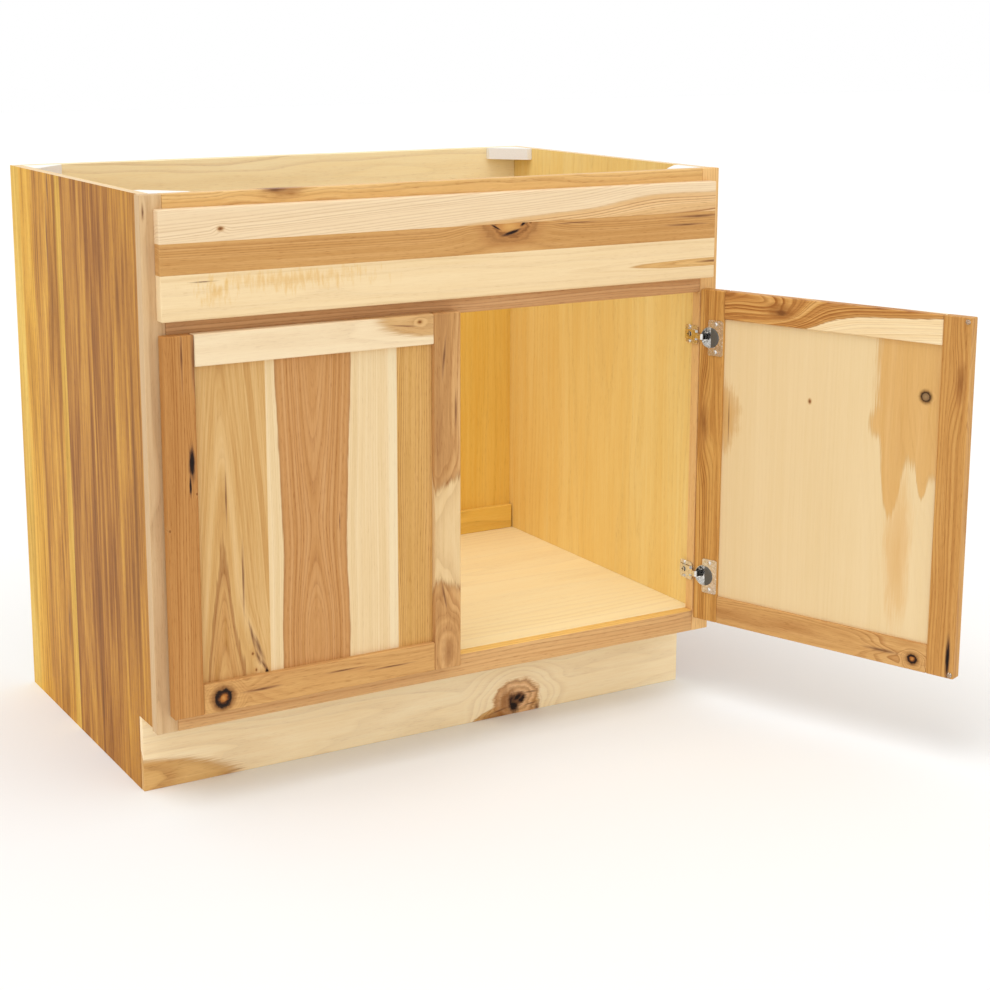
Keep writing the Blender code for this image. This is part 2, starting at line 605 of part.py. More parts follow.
    # The damper fills the far side of the cup: a round slug cut off straight beside the arm
    damper_name = name + "_damper"
    dark = finish(damper_name, DARK_PLASTIC)
    slug_floor = back_y - mouth_depth + FIT
    slug_top = back_y + RIM_PROUD + DAMPER_PROUD
    slug = round_mesh(damper_name, CUP_INNER_RADIUS - FIT, slug_top - slug_floor, ROUND_STEPS)
    damper = add_part(damper_name, slug, dark, along_y(hub, slug_floor, slug_top), axis)
    cut_box(damper, "flat", at(0, -CUP_DEPTH, hinge_z - 2 * CUP_RADIUS),
            at(DAMPER_NEAR, 2 * CUP_DEPTH, hinge_z + 2 * CUP_RADIUS), axis)
    ease_edges(damper, DAMPER_EASE)


make_carcass()
make_face_frame()
make_false_front()
make_corner_braces()
make_door("left_door", -1, 0.0)
make_door("right_door", 1, DOOR_OPENING_DEG)
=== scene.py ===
import json
import math

import bmesh
import bpy
from mathutils import Matrix, Vector


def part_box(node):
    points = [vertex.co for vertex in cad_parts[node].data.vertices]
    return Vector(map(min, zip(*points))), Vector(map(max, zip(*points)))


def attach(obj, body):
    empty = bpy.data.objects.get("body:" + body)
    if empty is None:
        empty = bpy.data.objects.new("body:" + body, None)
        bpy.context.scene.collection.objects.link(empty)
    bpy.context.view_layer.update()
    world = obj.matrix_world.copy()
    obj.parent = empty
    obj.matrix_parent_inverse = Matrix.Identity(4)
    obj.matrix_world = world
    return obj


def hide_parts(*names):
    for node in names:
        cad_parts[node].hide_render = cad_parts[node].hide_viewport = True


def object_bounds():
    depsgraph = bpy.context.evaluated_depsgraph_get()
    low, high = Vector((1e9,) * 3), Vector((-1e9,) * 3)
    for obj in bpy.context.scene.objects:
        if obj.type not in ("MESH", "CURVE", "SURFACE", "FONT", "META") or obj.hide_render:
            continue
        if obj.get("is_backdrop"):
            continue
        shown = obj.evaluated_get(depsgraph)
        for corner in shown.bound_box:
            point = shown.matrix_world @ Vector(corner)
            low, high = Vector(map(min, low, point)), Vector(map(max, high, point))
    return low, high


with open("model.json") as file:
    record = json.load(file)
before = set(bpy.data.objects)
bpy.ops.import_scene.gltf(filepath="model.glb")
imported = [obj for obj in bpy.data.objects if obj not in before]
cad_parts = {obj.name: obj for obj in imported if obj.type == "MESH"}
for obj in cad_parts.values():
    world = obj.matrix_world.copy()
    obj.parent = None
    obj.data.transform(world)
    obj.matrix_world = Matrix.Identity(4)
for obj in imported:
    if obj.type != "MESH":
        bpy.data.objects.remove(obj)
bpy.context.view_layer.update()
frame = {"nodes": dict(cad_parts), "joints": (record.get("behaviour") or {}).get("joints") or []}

bpy.context.scene.view_settings.view_transform = "Standard"

# Side panels: 16 mm plywood that stands on the floor, with hickory veneer outside and maple inside.
# The veneer is laid in upright strips of unlike colour and finished with satin lacquer.
# Its long straight bands and the plies on the cut top edge are what the eye sees.
RIGHT, BACK, UP = Vector((1, 0, 0)), Vector((0, 1, 0)), Vector((0, 0, 1))
STILL = Matrix.Identity(4)
VENEER_THICK = 0.0008
PLY_THICK, PLY_BLUR = 0.0024, 0.1
PLY_EDGE_DARK, PLY_EDGE_PALE = "D9B47F", "F0DAB2"
RING_WIDTH = 0.004
WANDER_LENGTH, WANDER_WIDTH = 0.42, 0.06
# Noise swings a quarter each way of its middle, so four times a length makes it swing by that length.
# Most of it lies between the low and the high.
NOISE_SPAN, NOISE_LOW, NOISE_HIGH = 4, 0.35, 0.65
BANDS_PER_RING, CROWDING_PER_RING, RING_CROWDING = 0.4, 0.2, 4.0
RING_FAINT, RING_STRONG = 0.2, 1.2
HEART_EDGE, HEART_RIM, HEART_FRAY = 0.002, 0.005, 0.005
HEART_RIM_DARK = 0.45
SAP_LINE, SAP_PORE = 0.35, 0.35
SWELL_REACH = 2.6
STREAK = (0.180, 0.006)
FIBRE_LENGTH, FIBRE_WIDTH = 0.050, 0.0016
FIBRE_TONE = 0.30
# Pores are a quarter of this width, but would not show if drawn so fine
PORE_LENGTH, PORE_WIDTH = 0.014, 0.0012
# In each year's ring the early wood is darker, and most of the pores open there
EARLY_WOOD = [(0.0, "A88058", 1), (0.12, "C4A07A", 1), (0.45, "FFFFFF", 1), (0.92, "FFFFFF", 1),
              (1.0, "CFB08C", 1)]
PORE_DASHES = [(0.56, "FFFFFF", 1), (0.72, "BC9468", 1)]
EARLY_SHARE, LATE_PORES = 0.6, 0.35
# Satin lacquer: dull over the dark bands, a little glossier over the pale ones, with the grain just felt
SATIN_DULL, SATIN_GLOSSY, LACQUER_SPECULAR = 0.56, 0.44, 0.15
GRAIN_RELIEF, GRAIN_STRENGTH = 0.0003, 0.2
TONE_DARK, TONE_PALE = 0.25, 0.75
# Steps that keep the figures of two boards, two staves and the two faces of plywood unlike
BOARD_STEP, STAVE_STEP, LINING_STEP = 3.7, 11, 5


def rgb(code):
    """Linear colour of an sRGB hex value."""
    parts = [int(code[i:i + 2], 16) / 255 for i in (0, 2, 4)]
    return [c / 12.92 if c <= 0.04045 else ((c + 0.055) / 1.055) ** 2.4 for c in parts]


def add(tree, kind, inputs=(), stops=None, **settings):
    """One shader node: its settings, its colour stops, and what feeds its open sockets."""
    node = tree.nodes.new("ShaderNode" + kind)
    for name, value in settings.items():
        setattr(node, name, value)
    if stops:
        elements = node.color_ramp.elements
        elements[0].position, elements[-1].position = stops[0][0], stops[-1][0]
        for position, *_ in stops[1:-1]:
            elements.new(position)
        for element, (_, code, alpha) in zip(elements, stops):
            element.color = (*rgb(code), alpha)
    if isinstance(inputs, dict):
        pairs = [(node.inputs[name], value) for name, value in inputs.items()]
    else:
        pairs = zip([s for s in node.inputs if s.enabled], inputs)
    for socket, value in pairs:
        if isinstance(value, bpy.types.Node):
            value = next(s for s in value.outputs if s.enabled)
        if isinstance(value, bpy.types.NodeSocket):
            tree.links.new(value, socket)
        else:
            socket.default_value = value
    return node


def wood_ramp(tones):
    """Colour stops from the darkest to the palest of the five tones of one wood."""
    levels = (0.16, 0.36, 0.50, 0.64, 0.84)
    return [(level, code, 1.0) for level, code in zip(levels, tones.split())]


# What grows in the wood: for each kind, how ragged its edge is, how far it feathers out along the grain,
# how far the rings bend round it as a share of its width, and its colours from the middle outwards, where
# 0.5 is the edge of the length and width given for it. A swell has no colour: it only bends the rings.
# A bay moves the edge of the heart much more than it bends the rings. Curl is ragged in flecks across
# the grain. On a board, each mark is its kind, its place along and across, its length and width, and
# where needed its turn and how far it pushes the rings.
MARKS = {
    "pin_knot": (0.5, 0.2, -0.5, [(0.0, "6A3A1A", 1.0), (0.22, "95602E", 0.9), (0.36, "BE8A50", 0.5),
                                 (0.55, "C8925A", 0.0)]),
    "ring_knot": (0.7, 0.2, -0.8, [(0.0, "C48A48", 1.0), (0.14, "A8672E", 1.0), (0.21, "5C3418", 1.0),
                                  (0.29, "1A0F0A", 1.0), (0.38, "2C1A10", 1.0), (0.45, "7A4E2A", 0.8),
                                  (0.75, "B07A42", 0.0)]),
    "plug_knot": (0.4, 0.1, -0.9, [(0.0, "A08258", 1.0), (0.28, "8A6A48", 1.0), (0.36, "2A1A0E", 1.0),
                                  (0.44, "5A3A1E", 0.9), (0.75, "B8854A", 0.0)]),
    "dark_void": (0.8, 0.4, -0.4, [(0.0, "140C08", 1.0), (0.26, "2A1810", 1.0), (0.38, "63402A", 0.8),
                                  (0.65, "9A6A40", 0.0)]),
    "burr_knot": (0.6, 0.2, -0.35, [(0.0, "4A3226", 1.0), (0.10, "5A3E2E", 1.0), (0.15, "A87A54", 0.95),
                                    (0.22, "E8BC8C", 0.85), (0.29, "C08E5C", 0.85), (0.34, "EEC08E", 0.8),
                                    (0.41, "CF9A62", 0.85), (0.46, "A8703F", 0.85), (0.50, "D6A468", 0.6),
                                    (0.55, "E8C08A", 0.0)]),
    "swirl_knot": (0.9, 0.3, -0.5, [(0.0, "8A5428", 0.8), (0.25, "9C6430", 0.6), (0.55, "B98048", 0.0)]),
    "eye_knot": (0.7, 0.2, -0.3, [(0.0, "D6A25C", 1.0), (0.20, "C08548", 1.0), (0.27, "84522A", 0.9),
                                 (0.33, "B47C44", 0.8), (0.40, "925E32", 0.65), (0.48, "B47C46", 0.45),
                                 (0.66, "B98048", 0.0)]),
    "mineral_streak": (0.8, 0.5, -0.3, [(0.0, "5E3824", 0.9), (0.22, "7E5034", 0.6),
                                        (0.5, "A97C56", 0.0)]),
    # A stain in the wood; on the left stile it is also painted shadow beside the false front
    "stain_and_shade": (0.9, 0.5, 0.0, [(0.0, "D9A45A", 0.6), (0.30, "DDAC66", 0.5), (0.55, "E4BC80", 0.0)]),
    "heart_knot": (0.8, 0.9, 0.0, [(0.0, "C8924A", 0.8), (0.30, "D2A056", 0.7), (0.44, "C8924A", 0.45),
                                   (0.60, "E0B878", 0.0)]),
    "curl": (3.0, 0.0, 0.0, [(0.0, "DDA850", 0.45), (0.2, "E3B768", 0.25), (0.4, "EBCB98", 0.0)]),
    "swell": (0.0, 0.0, 0.0, None),
    "bay": (0.0, 0.0, 0.0, None),
}
CURL_FLECK = (0.006, 0.030)
BAY_RINGS = 0.25
MARK_GRAIN = 1.8


def figure(tree, place, seed, tones, pith=0.25, depth=0.03, ring=RING_WIDTH, taper=0.0, wander=0.004,
           contrast=0.7, line=0.4, patchy=0.35, streaky=0.4, streak=STREAK, pore=0.5, sap=None,
           heart=0.0, rim="8A5C38", soft=HEART_EDGE, fray=HEART_FRAY, marks=()):
    """One sawn stave: rings round a pith, cut lengthwise, brown inside the heart and cream outside.

    Returns its colour and its light and dark bands. The pith is a place across the board, depth is how
    far it lies behind the face, and a taper, a wander or a swell of the rings draws cathedrals on it.
    """
    drift_at = add(tree, "Mapping", dict(Vector=place, Location=(seed, 0.7 * seed, 0),
                                         Scale=(1 / WANDER_LENGTH, 1 / WANDER_WIDTH, 1 / WANDER_WIDTH)))
    drift = add(tree, "TexNoise", dict(Vector=drift_at, Scale=1.0, Detail=2.0, Roughness=0.5))
    fibre_at = add(tree, "Mapping", dict(Vector=place, Location=(0, seed, 0),
                                         Scale=(1 / FIBRE_LENGTH, 1 / FIBRE_WIDTH, 1 / FIBRE_WIDTH)))
    fibres = add(tree, "TexNoise", dict(Vector=fibre_at, Scale=1.0, Detail=2.0, Roughness=0.6))
    streak_at = add(tree, "Mapping", dict(Vector=place, Location=(seed, 0, 0),
                                          Scale=(1 / streak[0], 1 / streak[1], 1 / streak[1])))
    streaks = add(tree, "TexNoise", dict(Vector=streak_at, Scale=1.0, Detail=3.0, Roughness=0.6))
    log = add(tree, "Mapping", dict(Vector=place, Location=(0, -pith, depth), Scale=(0, 1, 1)))
    radius = add(tree, "VectorMath", [log], operation="LENGTH")
    radius = add(tree, "Math", [drift, NOISE_SPAN * wander, radius], operation="MULTIPLY_ADD")
    along = add(tree, "SeparateXYZ", [place])
    radius = add(tree, "Math", [along, taper, radius], operation="MULTIPLY_ADD")
    edge = radius
    spots = []
    for number, (kind, at, over, length, width, *more) in enumerate(marks):
        ragged, feather, bend, stops = MARKS[kind]
        turn = more[0] if more else 0.0
        push = more[1] if len(more) > 1 else bend * width
        spot = add(tree, "Mapping", dict(Vector=place, Location=(at, over, 0), Rotation=(0, 0, turn),
                                         Scale=(length / 2, width / 2, 1.0)), vector_type="TEXTURE")
        reach = add(tree, "VectorMath", [spot], operation="LENGTH")
        if push:
            near = add(tree, "MapRange", [reach, 0.0, SWELL_REACH, push, 0.0],
                       interpolation_type="SMOOTHSTEP")
            edge = add(tree, "Math", [edge, near], operation="ADD")
            share = BAY_RINGS if kind == "bay" else 1.0
            radius = add(tree, "Math", [near, share, radius], operation="MULTIPLY_ADD")
        if stops:
            if kind == "curl":
                rough_at = add(tree, "Mapping", dict(Vector=place, Location=(seed, 0, 0),
                                                     Scale=(1 / CURL_FLECK[0], 1 / CURL_FLECK[1], 1.0)))
            else:
                rough_at = add(tree, "Mapping", dict(Vector=spot, Location=(seed + number, number, 0),
                                                     Scale=(MARK_GRAIN, MARK_GRAIN, MARK_GRAIN)))
            rough = add(tree, "TexNoise", dict(Vector=rough_at, Scale=1.0, Detail=4.0, Roughness=0.6))
            rough = add(tree, "Math", [rough, ragged, -0.5 * ragged - 0.5 * feather],
                        operation="MULTIPLY_ADD")
            reach = add(tree, "Math", [reach, rough], operation="ADD")
            reach = add(tree, "Math", [fibres, feather, reach], operation="MULTIPLY_ADD")
            reach = add(tree, "Math", [reach, 0.5], operation="MULTIPLY")
            spots.append(add(tree, "ValToRGB", [reach], stops=stops))
    years = add(tree, "Math", [radius, seed], operation="ADD")
    bands = add(tree, "TexNoise", dict(W=years, Scale=BANDS_PER_RING / ring, Detail=4.0,
                                       Roughness=0.6), noise_dimensions="1D")
    uneven = add(tree, "TexNoise", dict(W=years, Scale=CROWDING_PER_RING / ring, Detail=1.0,
                                        Roughness=0.5), noise_dimensions="1D")
    count = add(tree, "Math", [years, 1 / ring], operation="MULTIPLY")
    count = add(tree, "Math", [uneven, RING_CROWDING, count], operation="MULTIPLY_ADD")
    within = add(tree, "Math", [count], operation="FRACT")
    tone = add(tree, "Math", [bands, contrast, 0.5 - (contrast + patchy + streaky + FIBRE_TONE) / 2],
               operation="MULTIPLY_ADD")
    tone = add(tree, "Math", [streaks, streaky, tone], operation="MULTIPLY_ADD")
    tone = add(tree, "Math", [drift, patchy, tone], operation="MULTIPLY_ADD")
    tone = add(tree, "Math", [fibres, FIBRE_TONE, tone], operation="MULTIPLY_ADD")
    colour = add(tree, "ValToRGB", [tone], stops=wood_ramp(tones))
    strong = add(tree, "MapRange", [uneven, NOISE_LOW, NOISE_HIGH, RING_FAINT * line, RING_STRONG * line])
    if sap:
        limit = heart + NOISE_SPAN * wander / 2 + fray / 2
        edge = add(tree, "Math", [fibres, fray, edge], operation="MULTIPLY_ADD")
        outside = add(tree, "MapRange", [edge, limit - soft / 2, limit + soft / 2],
                      interpolation_type="SMOOTHSTEP")
        dark = add(tree, "MapRange", [edge, limit - HEART_RIM, limit, 0.0, HEART_RIM_DARK])
        colour = add(tree, "Mix", [dark, colour, (*rgb(rim), 1)], data_type="RGBA")
        cream = add(tree, "ValToRGB", [tone], stops=wood_ramp(sap))
        colour = add(tree, "Mix", [outside, colour, cream], data_type="RGBA")
        paler = add(tree, "MapRange", [outside, 0.0, 1.0, 1.0, SAP_LINE])
        strong = add(tree, "Math", [strong, paler], operation="MULTIPLY")
    early = add(tree, "ValToRGB", [within], stops=EARLY_WOOD)
    colour = add(tree, "Mix", [strong, colour, early], data_type="RGBA", blend_type="MULTIPLY")
    pore_at = add(tree, "Mapping", dict(Vector=place, Location=(0, 0, seed),
                                        Scale=(1 / PORE_LENGTH, 1 / PORE_WIDTH, 1 / PORE_WIDTH)))
    pores = add(tree, "TexNoise", dict(Vector=pore_at, Scale=1.0, Detail=1.0, Roughness=0.5))
    dashes = add(tree, "ValToRGB", [pores], stops=PORE_DASHES)
    open_pores = add(tree, "MapRange", [within, 0.0, EARLY_SHARE, pore, LATE_PORES * pore])
    if sap:
        closed = add(tree, "MapRange", [outside, 0.0, 1.0, 1.0, SAP_PORE])
        open_pores = add(tree, "Math", [open_pores, closed], operation="MULTIPLY")
    colour = add(tree, "Mix", [open_pores, colour, dashes], data_type="RGBA", blend_type="MULTIPLY")
    for spot in spots:
        colour = add(tree, "Mix", [spot.outputs["Alpha"], colour, spot], data_type="RGBA")
    return colour, tone


def timber(node, slot, grain, across, face, staves, carried=STILL, lining=None, thick=0.0):
    """Lacquered timber on one node: staves side by side across the board, each up to its own edge.

    The figure lies on the face through the given point. Plywood also has a lining, the stave on its
    other face, and its thickness, for the plies between.
    """
    material = bpy.data.materials.new(slot + "." + node)
    material.use_nodes = True
    tree = material.node_tree
    turned = carried.to_3x3() @ Matrix((grain, across, grain.cross(across))).transposed()
    at = add(tree, "TexCoord").outputs["Object"]
    place = add(tree, "Mapping", dict(Vector=at, Location=carried @ face, Rotation=turned.to_euler()),
                vector_type="TEXTURE")
    seed = BOARD_STEP * (1 + sorted(frame["nodes"]).index(node))
    colour = None
    for number, stave in enumerate(staves):
        look = {key: value for key, value in stave.items() if key != "to"}
        wood, bands = figure(tree, place, seed + STAVE_STEP * number, **look)
        if colour is None:
            colour, tone = wood, bands
        else:
            over = add(tree, "SeparateXYZ", [place]).outputs["Y"]
            beyond = add(tree, "Math", [over, staves[number - 1]["to"]], operation="GREATER_THAN")
            colour = add(tree, "Mix", [beyond, colour, wood], data_type="RGBA")
            tone = add(tree, "Mix", [beyond, tone, bands])
    if lining:
        below = add(tree, "Math", [add(tree, "SeparateXYZ", [place]).outputs["Z"]], operation="ABSOLUTE")
        ply = add(tree, "Math", [below, PLY_THICK], operation="PINGPONG")
        ply = add(tree, "MapRange", [ply, (0.5 - PLY_BLUR) * PLY_THICK, (0.5 + PLY_BLUR) * PLY_THICK])
        edge = add(tree, "Mix", [ply, (*rgb(PLY_EDGE_DARK), 1), (*rgb(PLY_EDGE_PALE), 1)],
                   data_type="RGBA")
        cut = add(tree, "Math", [below, VENEER_THICK], operation="GREATER_THAN")
        colour = add(tree, "Mix", [cut, colour, edge], data_type="RGBA")
        inner, inner_bands = figure(tree, place, seed + LINING_STEP, **lining)
        far = add(tree, "Math", [below, thick - VENEER_THICK], operation="GREATER_THAN")
        colour = add(tree, "Mix", [far, colour, inner], data_type="RGBA")
        tone = add(tree, "Mix", [far, tone, inner_bands])
    gloss = add(tree, "MapRange", [tone, TONE_DARK, TONE_PALE, SATIN_DULL, SATIN_GLOSSY])
    relief = add(tree, "Bump", dict(Strength=GRAIN_STRENGTH, Distance=GRAIN_RELIEF, Height=tone))
    shader = tree.nodes["Principled BSDF"]
    for name, feed in (("Base Color", colour), ("Roughness", gloss), ("Normal", relief)):
        tree.links.new(next(s for s in feed.outputs if s.enabled), shader.inputs[name])
    shader.inputs["Specular IOR Level"].default_value = LACQUER_SPECULAR
    dress(node, material)


def dress(node, material):
    """Give a node of the frame its finished material."""
    frame["nodes"][node].data.materials.clear()
    frame["nodes"][node].data.materials.append(material)


# Gold and brown veneers that shade into each other
GOLD = "A8701C C68A26 DEA432 EAB43C F3C64E"
AMBER = "8A581C AA7022 C98C2C DCA234 ECB844"
UMBER = "7A4C20 985F20 B27626 C88C2E DCA43A"
RUSSET = "805020 9E6622 B97D2A CD922E DEA83A"
GOLDEN_MAPLE = "F1CA74 F5D280 F8D98A FADF95 FBE4A2"
side_low, side_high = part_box("left_side_panel")
side_thick = side_high.x - side_low.x
side_lining = dict(tones=GOLDEN_MAPLE, pith=0.20, depth=0.30, ring=0.008, wander=0.006, contrast=0.4,
                   line=0.08, pore=0.25)
VENEER = dict(ring=0.006, contrast=0.5, line=0.20, patchy=0.85, streaky=0.75, streak=(0.20, 0.009),
              depth=0.05, wander=0.005, pore=0.7)
strips = [dict(VENEER, tones=RUSSET, pith=0.6, to=0.060),
          dict(VENEER, tones=UMBER, pith=0.02, to=0.150),
          dict(VENEER, tones=UMBER, pith=0.24, wander=0.008, to=0.278,
               marks=[("swell", 0.30, 0.22, 0.30, 0.060, 0.0, 0.020)]),
          dict(VENEER, tones="B4822C C89634 DAA83E E4B64A ECC45A", pith=0.5, to=0.302),
          dict(VENEER, tones=AMBER, pith=0.36, depth=0.02, wander=0.008, to=0.425,
               marks=[("swell", 0.780, 0.352, 0.16, 0.040, 0.0, -0.020),
                      ("mineral_streak", 0.775, 0.350, 0.15, 0.010),
                      ("mineral_streak", 0.855, 0.338, 0.07, 0.010),
                      ("swell", 0.160, 0.325, 0.20, 0.044, 0.0, -0.020),
                      ("mineral_streak", 0.165, 0.318, 0.12, 0.010)]),
          dict(VENEER, tones=GOLD, pith=0.2, to=0.485),
          dict(VENEER, tones="BA862C D09E38 E0B044 EABE50 F2CC62", pith=0.3)]
timber("left_side_panel", "hickory_side", UP, BACK, Vector((side_low.x, 0, 0)), strips,
       lining=side_lining, thick=side_thick)
timber("right_side_panel", "hickory_side", UP, BACK, Vector((-side_low.x, 0, 0)), strips,
       lining=side_lining, thick=side_thick)

# Floor, back, nailers and cleats: maple plywood and maple strips, glued and stapled into the sides.
# Clear lacquer leaves them pale gold, with faint wide figure and short fine pores.
MAPLE = "F6DDA4 F9E4B0 FBE9BA FCEDC2 FDF1CA"
DEEP_MAPLE = "E8B54E EEC05A F2C965 F5CF70 F7D57D"
RAW_MAPLE = "E2C9A2 E8D1AC ECD7B4 EFDCBB F2E1C2"
PALE_MAPLE = dict(tones=MAPLE, depth=0.30, ring=0.012, wander=0.008, contrast=0.25, line=0.10, patchy=0.2,
                  streaky=0.3, pore=0.2)
floor_low, floor_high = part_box("floor_panel")
timber("floor_panel", "maple_interior", RIGHT, BACK, Vector((0, 0, floor_high.z)),
       [dict(PALE_MAPLE, pith=0.25)], lining=dict(PALE_MAPLE, pith=0.1),
       thick=floor_high.z - floor_low.z)
back_low, back_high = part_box("back_panel")
timber("back_panel", "maple_interior", UP, RIGHT, Vector((0, back_low.y, 0)),
       [dict(side_lining, tones=DEEP_MAPLE, pith=0.12)],
       lining=dict(PALE_MAPLE, tones=RAW_MAPLE, pith=0.1), thick=back_high.y - back_low.y)
for strip, tones in (("upper_nailer", MAPLE), ("lower_nailer", DEEP_MAPLE)):
    low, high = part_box(strip)
    timber(strip, "maple_interior", RIGHT, UP, Vector((0, low.y, 0)),
           [dict(PALE_MAPLE, tones=tones, pith=(low.z + high.z) / 2, depth=0.10, line=0.22)])
for cleat in ("false_front_cleat_left", "false_front_cleat_right"):
    low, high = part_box(cleat)
    timber(cleat, "maple_interior", UP, RIGHT, Vector((0, high.y, 0)),
           [dict(PALE_MAPLE, pith=low.x)])

# Toe-kick board: solid hickory nailed over the front edges of the sides, sapwood with a corner of heart.
# One knot, brown and dark in the middle, sits on its lower edge.
SAP = "F5D9AA F9E0B3 FCE6BC FDEAC3 FEEECA"
HEART = "CA9856 D4A462 DCAF6E E3B97A EAC48A"
toe_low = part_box("toe_kick_board")[0]
timber("toe_kick_board", "hickory_toe_kick", RIGHT, UP, Vector((0, toe_low.y, 0)),
       [dict(tones=HEART, sap=SAP, rim="A8703F", soft=0.006, fray=0.008, pith=0.03, depth=0.20,
             heart=0.18, contrast=0.5, line=0.5,
             marks=[("bay", -0.54, -0.012, 0.32, 0.085, 0.0, -0.045),
                    ("bay", 0.120, -0.005, 0.06, 0.02, 0.0, -0.045),
                    ("burr_knot", 0.158, 0.024, 0.086, 0.070),
                    ("swirl_knot", 0.138, 0.024, 0.042, 0.052, 0.0, 0.0),
                    ("swirl_knot", 0.122, 0.000, 0.080, 0.024, 0.0, 0.0),
                    ("mineral_streak", 0.186, 0.032, 0.036, 0.004, -0.05),
                    ("mineral_streak", 0.186, 0.012, 0.036, 0.004, 0.1),
                    ("mineral_streak", 0.197, 0.003, 0.014, 0.022),
                    ("mineral_streak", 0.125, 0.010, 0.056, 0.005, 0.2),
                    ("dark_void", 0.1525, 0.018, 0.020, 0.040, 0.15, 0.0),
                    ("dark_void", 0.167, 0.0235, 0.020, 0.015, 0.3, 0.0),
                    ("dark_void", 0.160, 0.027, 0.022, 0.010, 0.6, 0.0)])])

# Face frame: solid hickory stiles and rails, tenoned together and glued to the front of the sides.
# The stiles are mostly sapwood and the rails mostly heart. The top of the bottom rail is painted
# brighter and yellower, as painted light falling from above.
frame_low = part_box("left_stile")[0]
frame_face = Vector((0, frame_low.y, 0))
# On the left stile, the darker band down its right edge beside the false front is part heart and part
# painted shadow cast by the false front
timber("left_stile", "hickory_frame", UP, RIGHT, frame_face,
       [dict(tones="C9A272 D1AD7D D8B689 DDBE91 E3C59B", pith=-0.49, depth=0.10, wander=0.004,
             contrast=0.6, line=0.5, pore=0.25,
             marks=[("mineral_streak", 0.853, -0.478, 0.030, 0.005),
                    ("stain_and_shade", 0.770, -0.450, 0.140, 0.010), ("pin_knot", 0.720, -0.456, 0.012, 0.006)])])
timber("right_stile", "hickory_frame", UP, RIGHT, frame_face,
       [dict(tones="DFAE6C E6B878 ECC080 F0C78A F4CE94", pith=0.40, depth=0.06, contrast=0.6)])
timber("top_rail", "hickory_frame", RIGHT, UP, frame_face,
       [dict(tones="CFA05C D9AC69 E2B775 E8C081 EDC98D", pith=0.83, depth=0.08, wander=0.006,
             marks=[("swell", -0.270, 0.880, 0.070, 0.040, 0.0, 0.020),
                    ("swirl_knot", -0.270, 0.878, 0.085, 0.036),
                    ("mineral_streak", -0.285, 0.875, 0.05, 0.008)])])
timber("middle_rail", "hickory_frame", RIGHT, UP, frame_face,
       [dict(tones="B88654 C59462 CE9E6C D6A876 DEB281", pith=0.66, depth=0.02)])
# Painted light: the top face of the bottom rail, and this thin band of its front, get paler, yellower
# tones
TOP_PAINTED_LIGHT = 0.0006
rail_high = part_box("bottom_rail")[1]
timber("bottom_rail", "hickory_frame", RIGHT, UP, frame_face,
       [dict(tones="CD9B63 D3A36B D9AB73 DEB27A E3B982", pith=0.16, depth=0.02,
             to=rail_high.z - TOP_PAINTED_LIGHT),
        dict(tones="E8B865 EEC06D F3C775 F7CE7E FAD488", pith=0.16, depth=0.02)])

# Corner braces: white polypropylene gussets, moulded hollow, stapled into the four top corners.
# The plastic is plain matt white with a fine grain from the mould.
GRIT_LOW, GRIT_HIGH, GRIT_STRENGTH = 0.3, 0.7, 0.4


def finish(name, dark, pale, grit, rough, relief, **sockets):
    """A plated, moulded or cast surface: close tones, gloss and relief that vary with its grit."""
    material = bpy.data.materials.new(name)
    material.use_nodes = True
    tree = material.node_tree
    at = add(tree, "TexCoord").outputs["Object"]
    at = add(tree, "Mapping", dict(Vector=at, Scale=(1 / grit, 1 / grit, 1 / grit)))
    speck = add(tree, "TexNoise", dict(Vector=at, Scale=1.0, Detail=3.0, Roughness=0.6))
    colour = add(tree, "ValToRGB", [speck], stops=[(NOISE_LOW, dark, 1), (NOISE_HIGH, pale, 1)])
    gloss = add(tree, "MapRange", [speck, GRIT_LOW, GRIT_HIGH, *rough])
    bump = add(tree, "Bump", dict(Strength=GRIT_STRENGTH, Distance=relief, Height=speck))
    shader = tree.nodes["Principled BSDF"]
    for socket, feed in (("Base Color", colour), ("Roughness", gloss), ("Normal", bump)):
        tree.links.new(next(s for s in feed.outputs if s.enabled), shader.inputs[socket])
    for socket, value in sockets.items():
        shader.inputs[socket.replace("_", " ")].default_value = value
    return material


WHITE_PLASTIC = finish("moulded_polypropylene", "EEECE7", "F5F3EE", 0.0015, (0.45, 0.60), 0.0001)
for end in ("front", "back"):
    for side in ("left", "right"):
        dress("corner_brace_" + end + "_" + side, WHITE_PLASTIC)

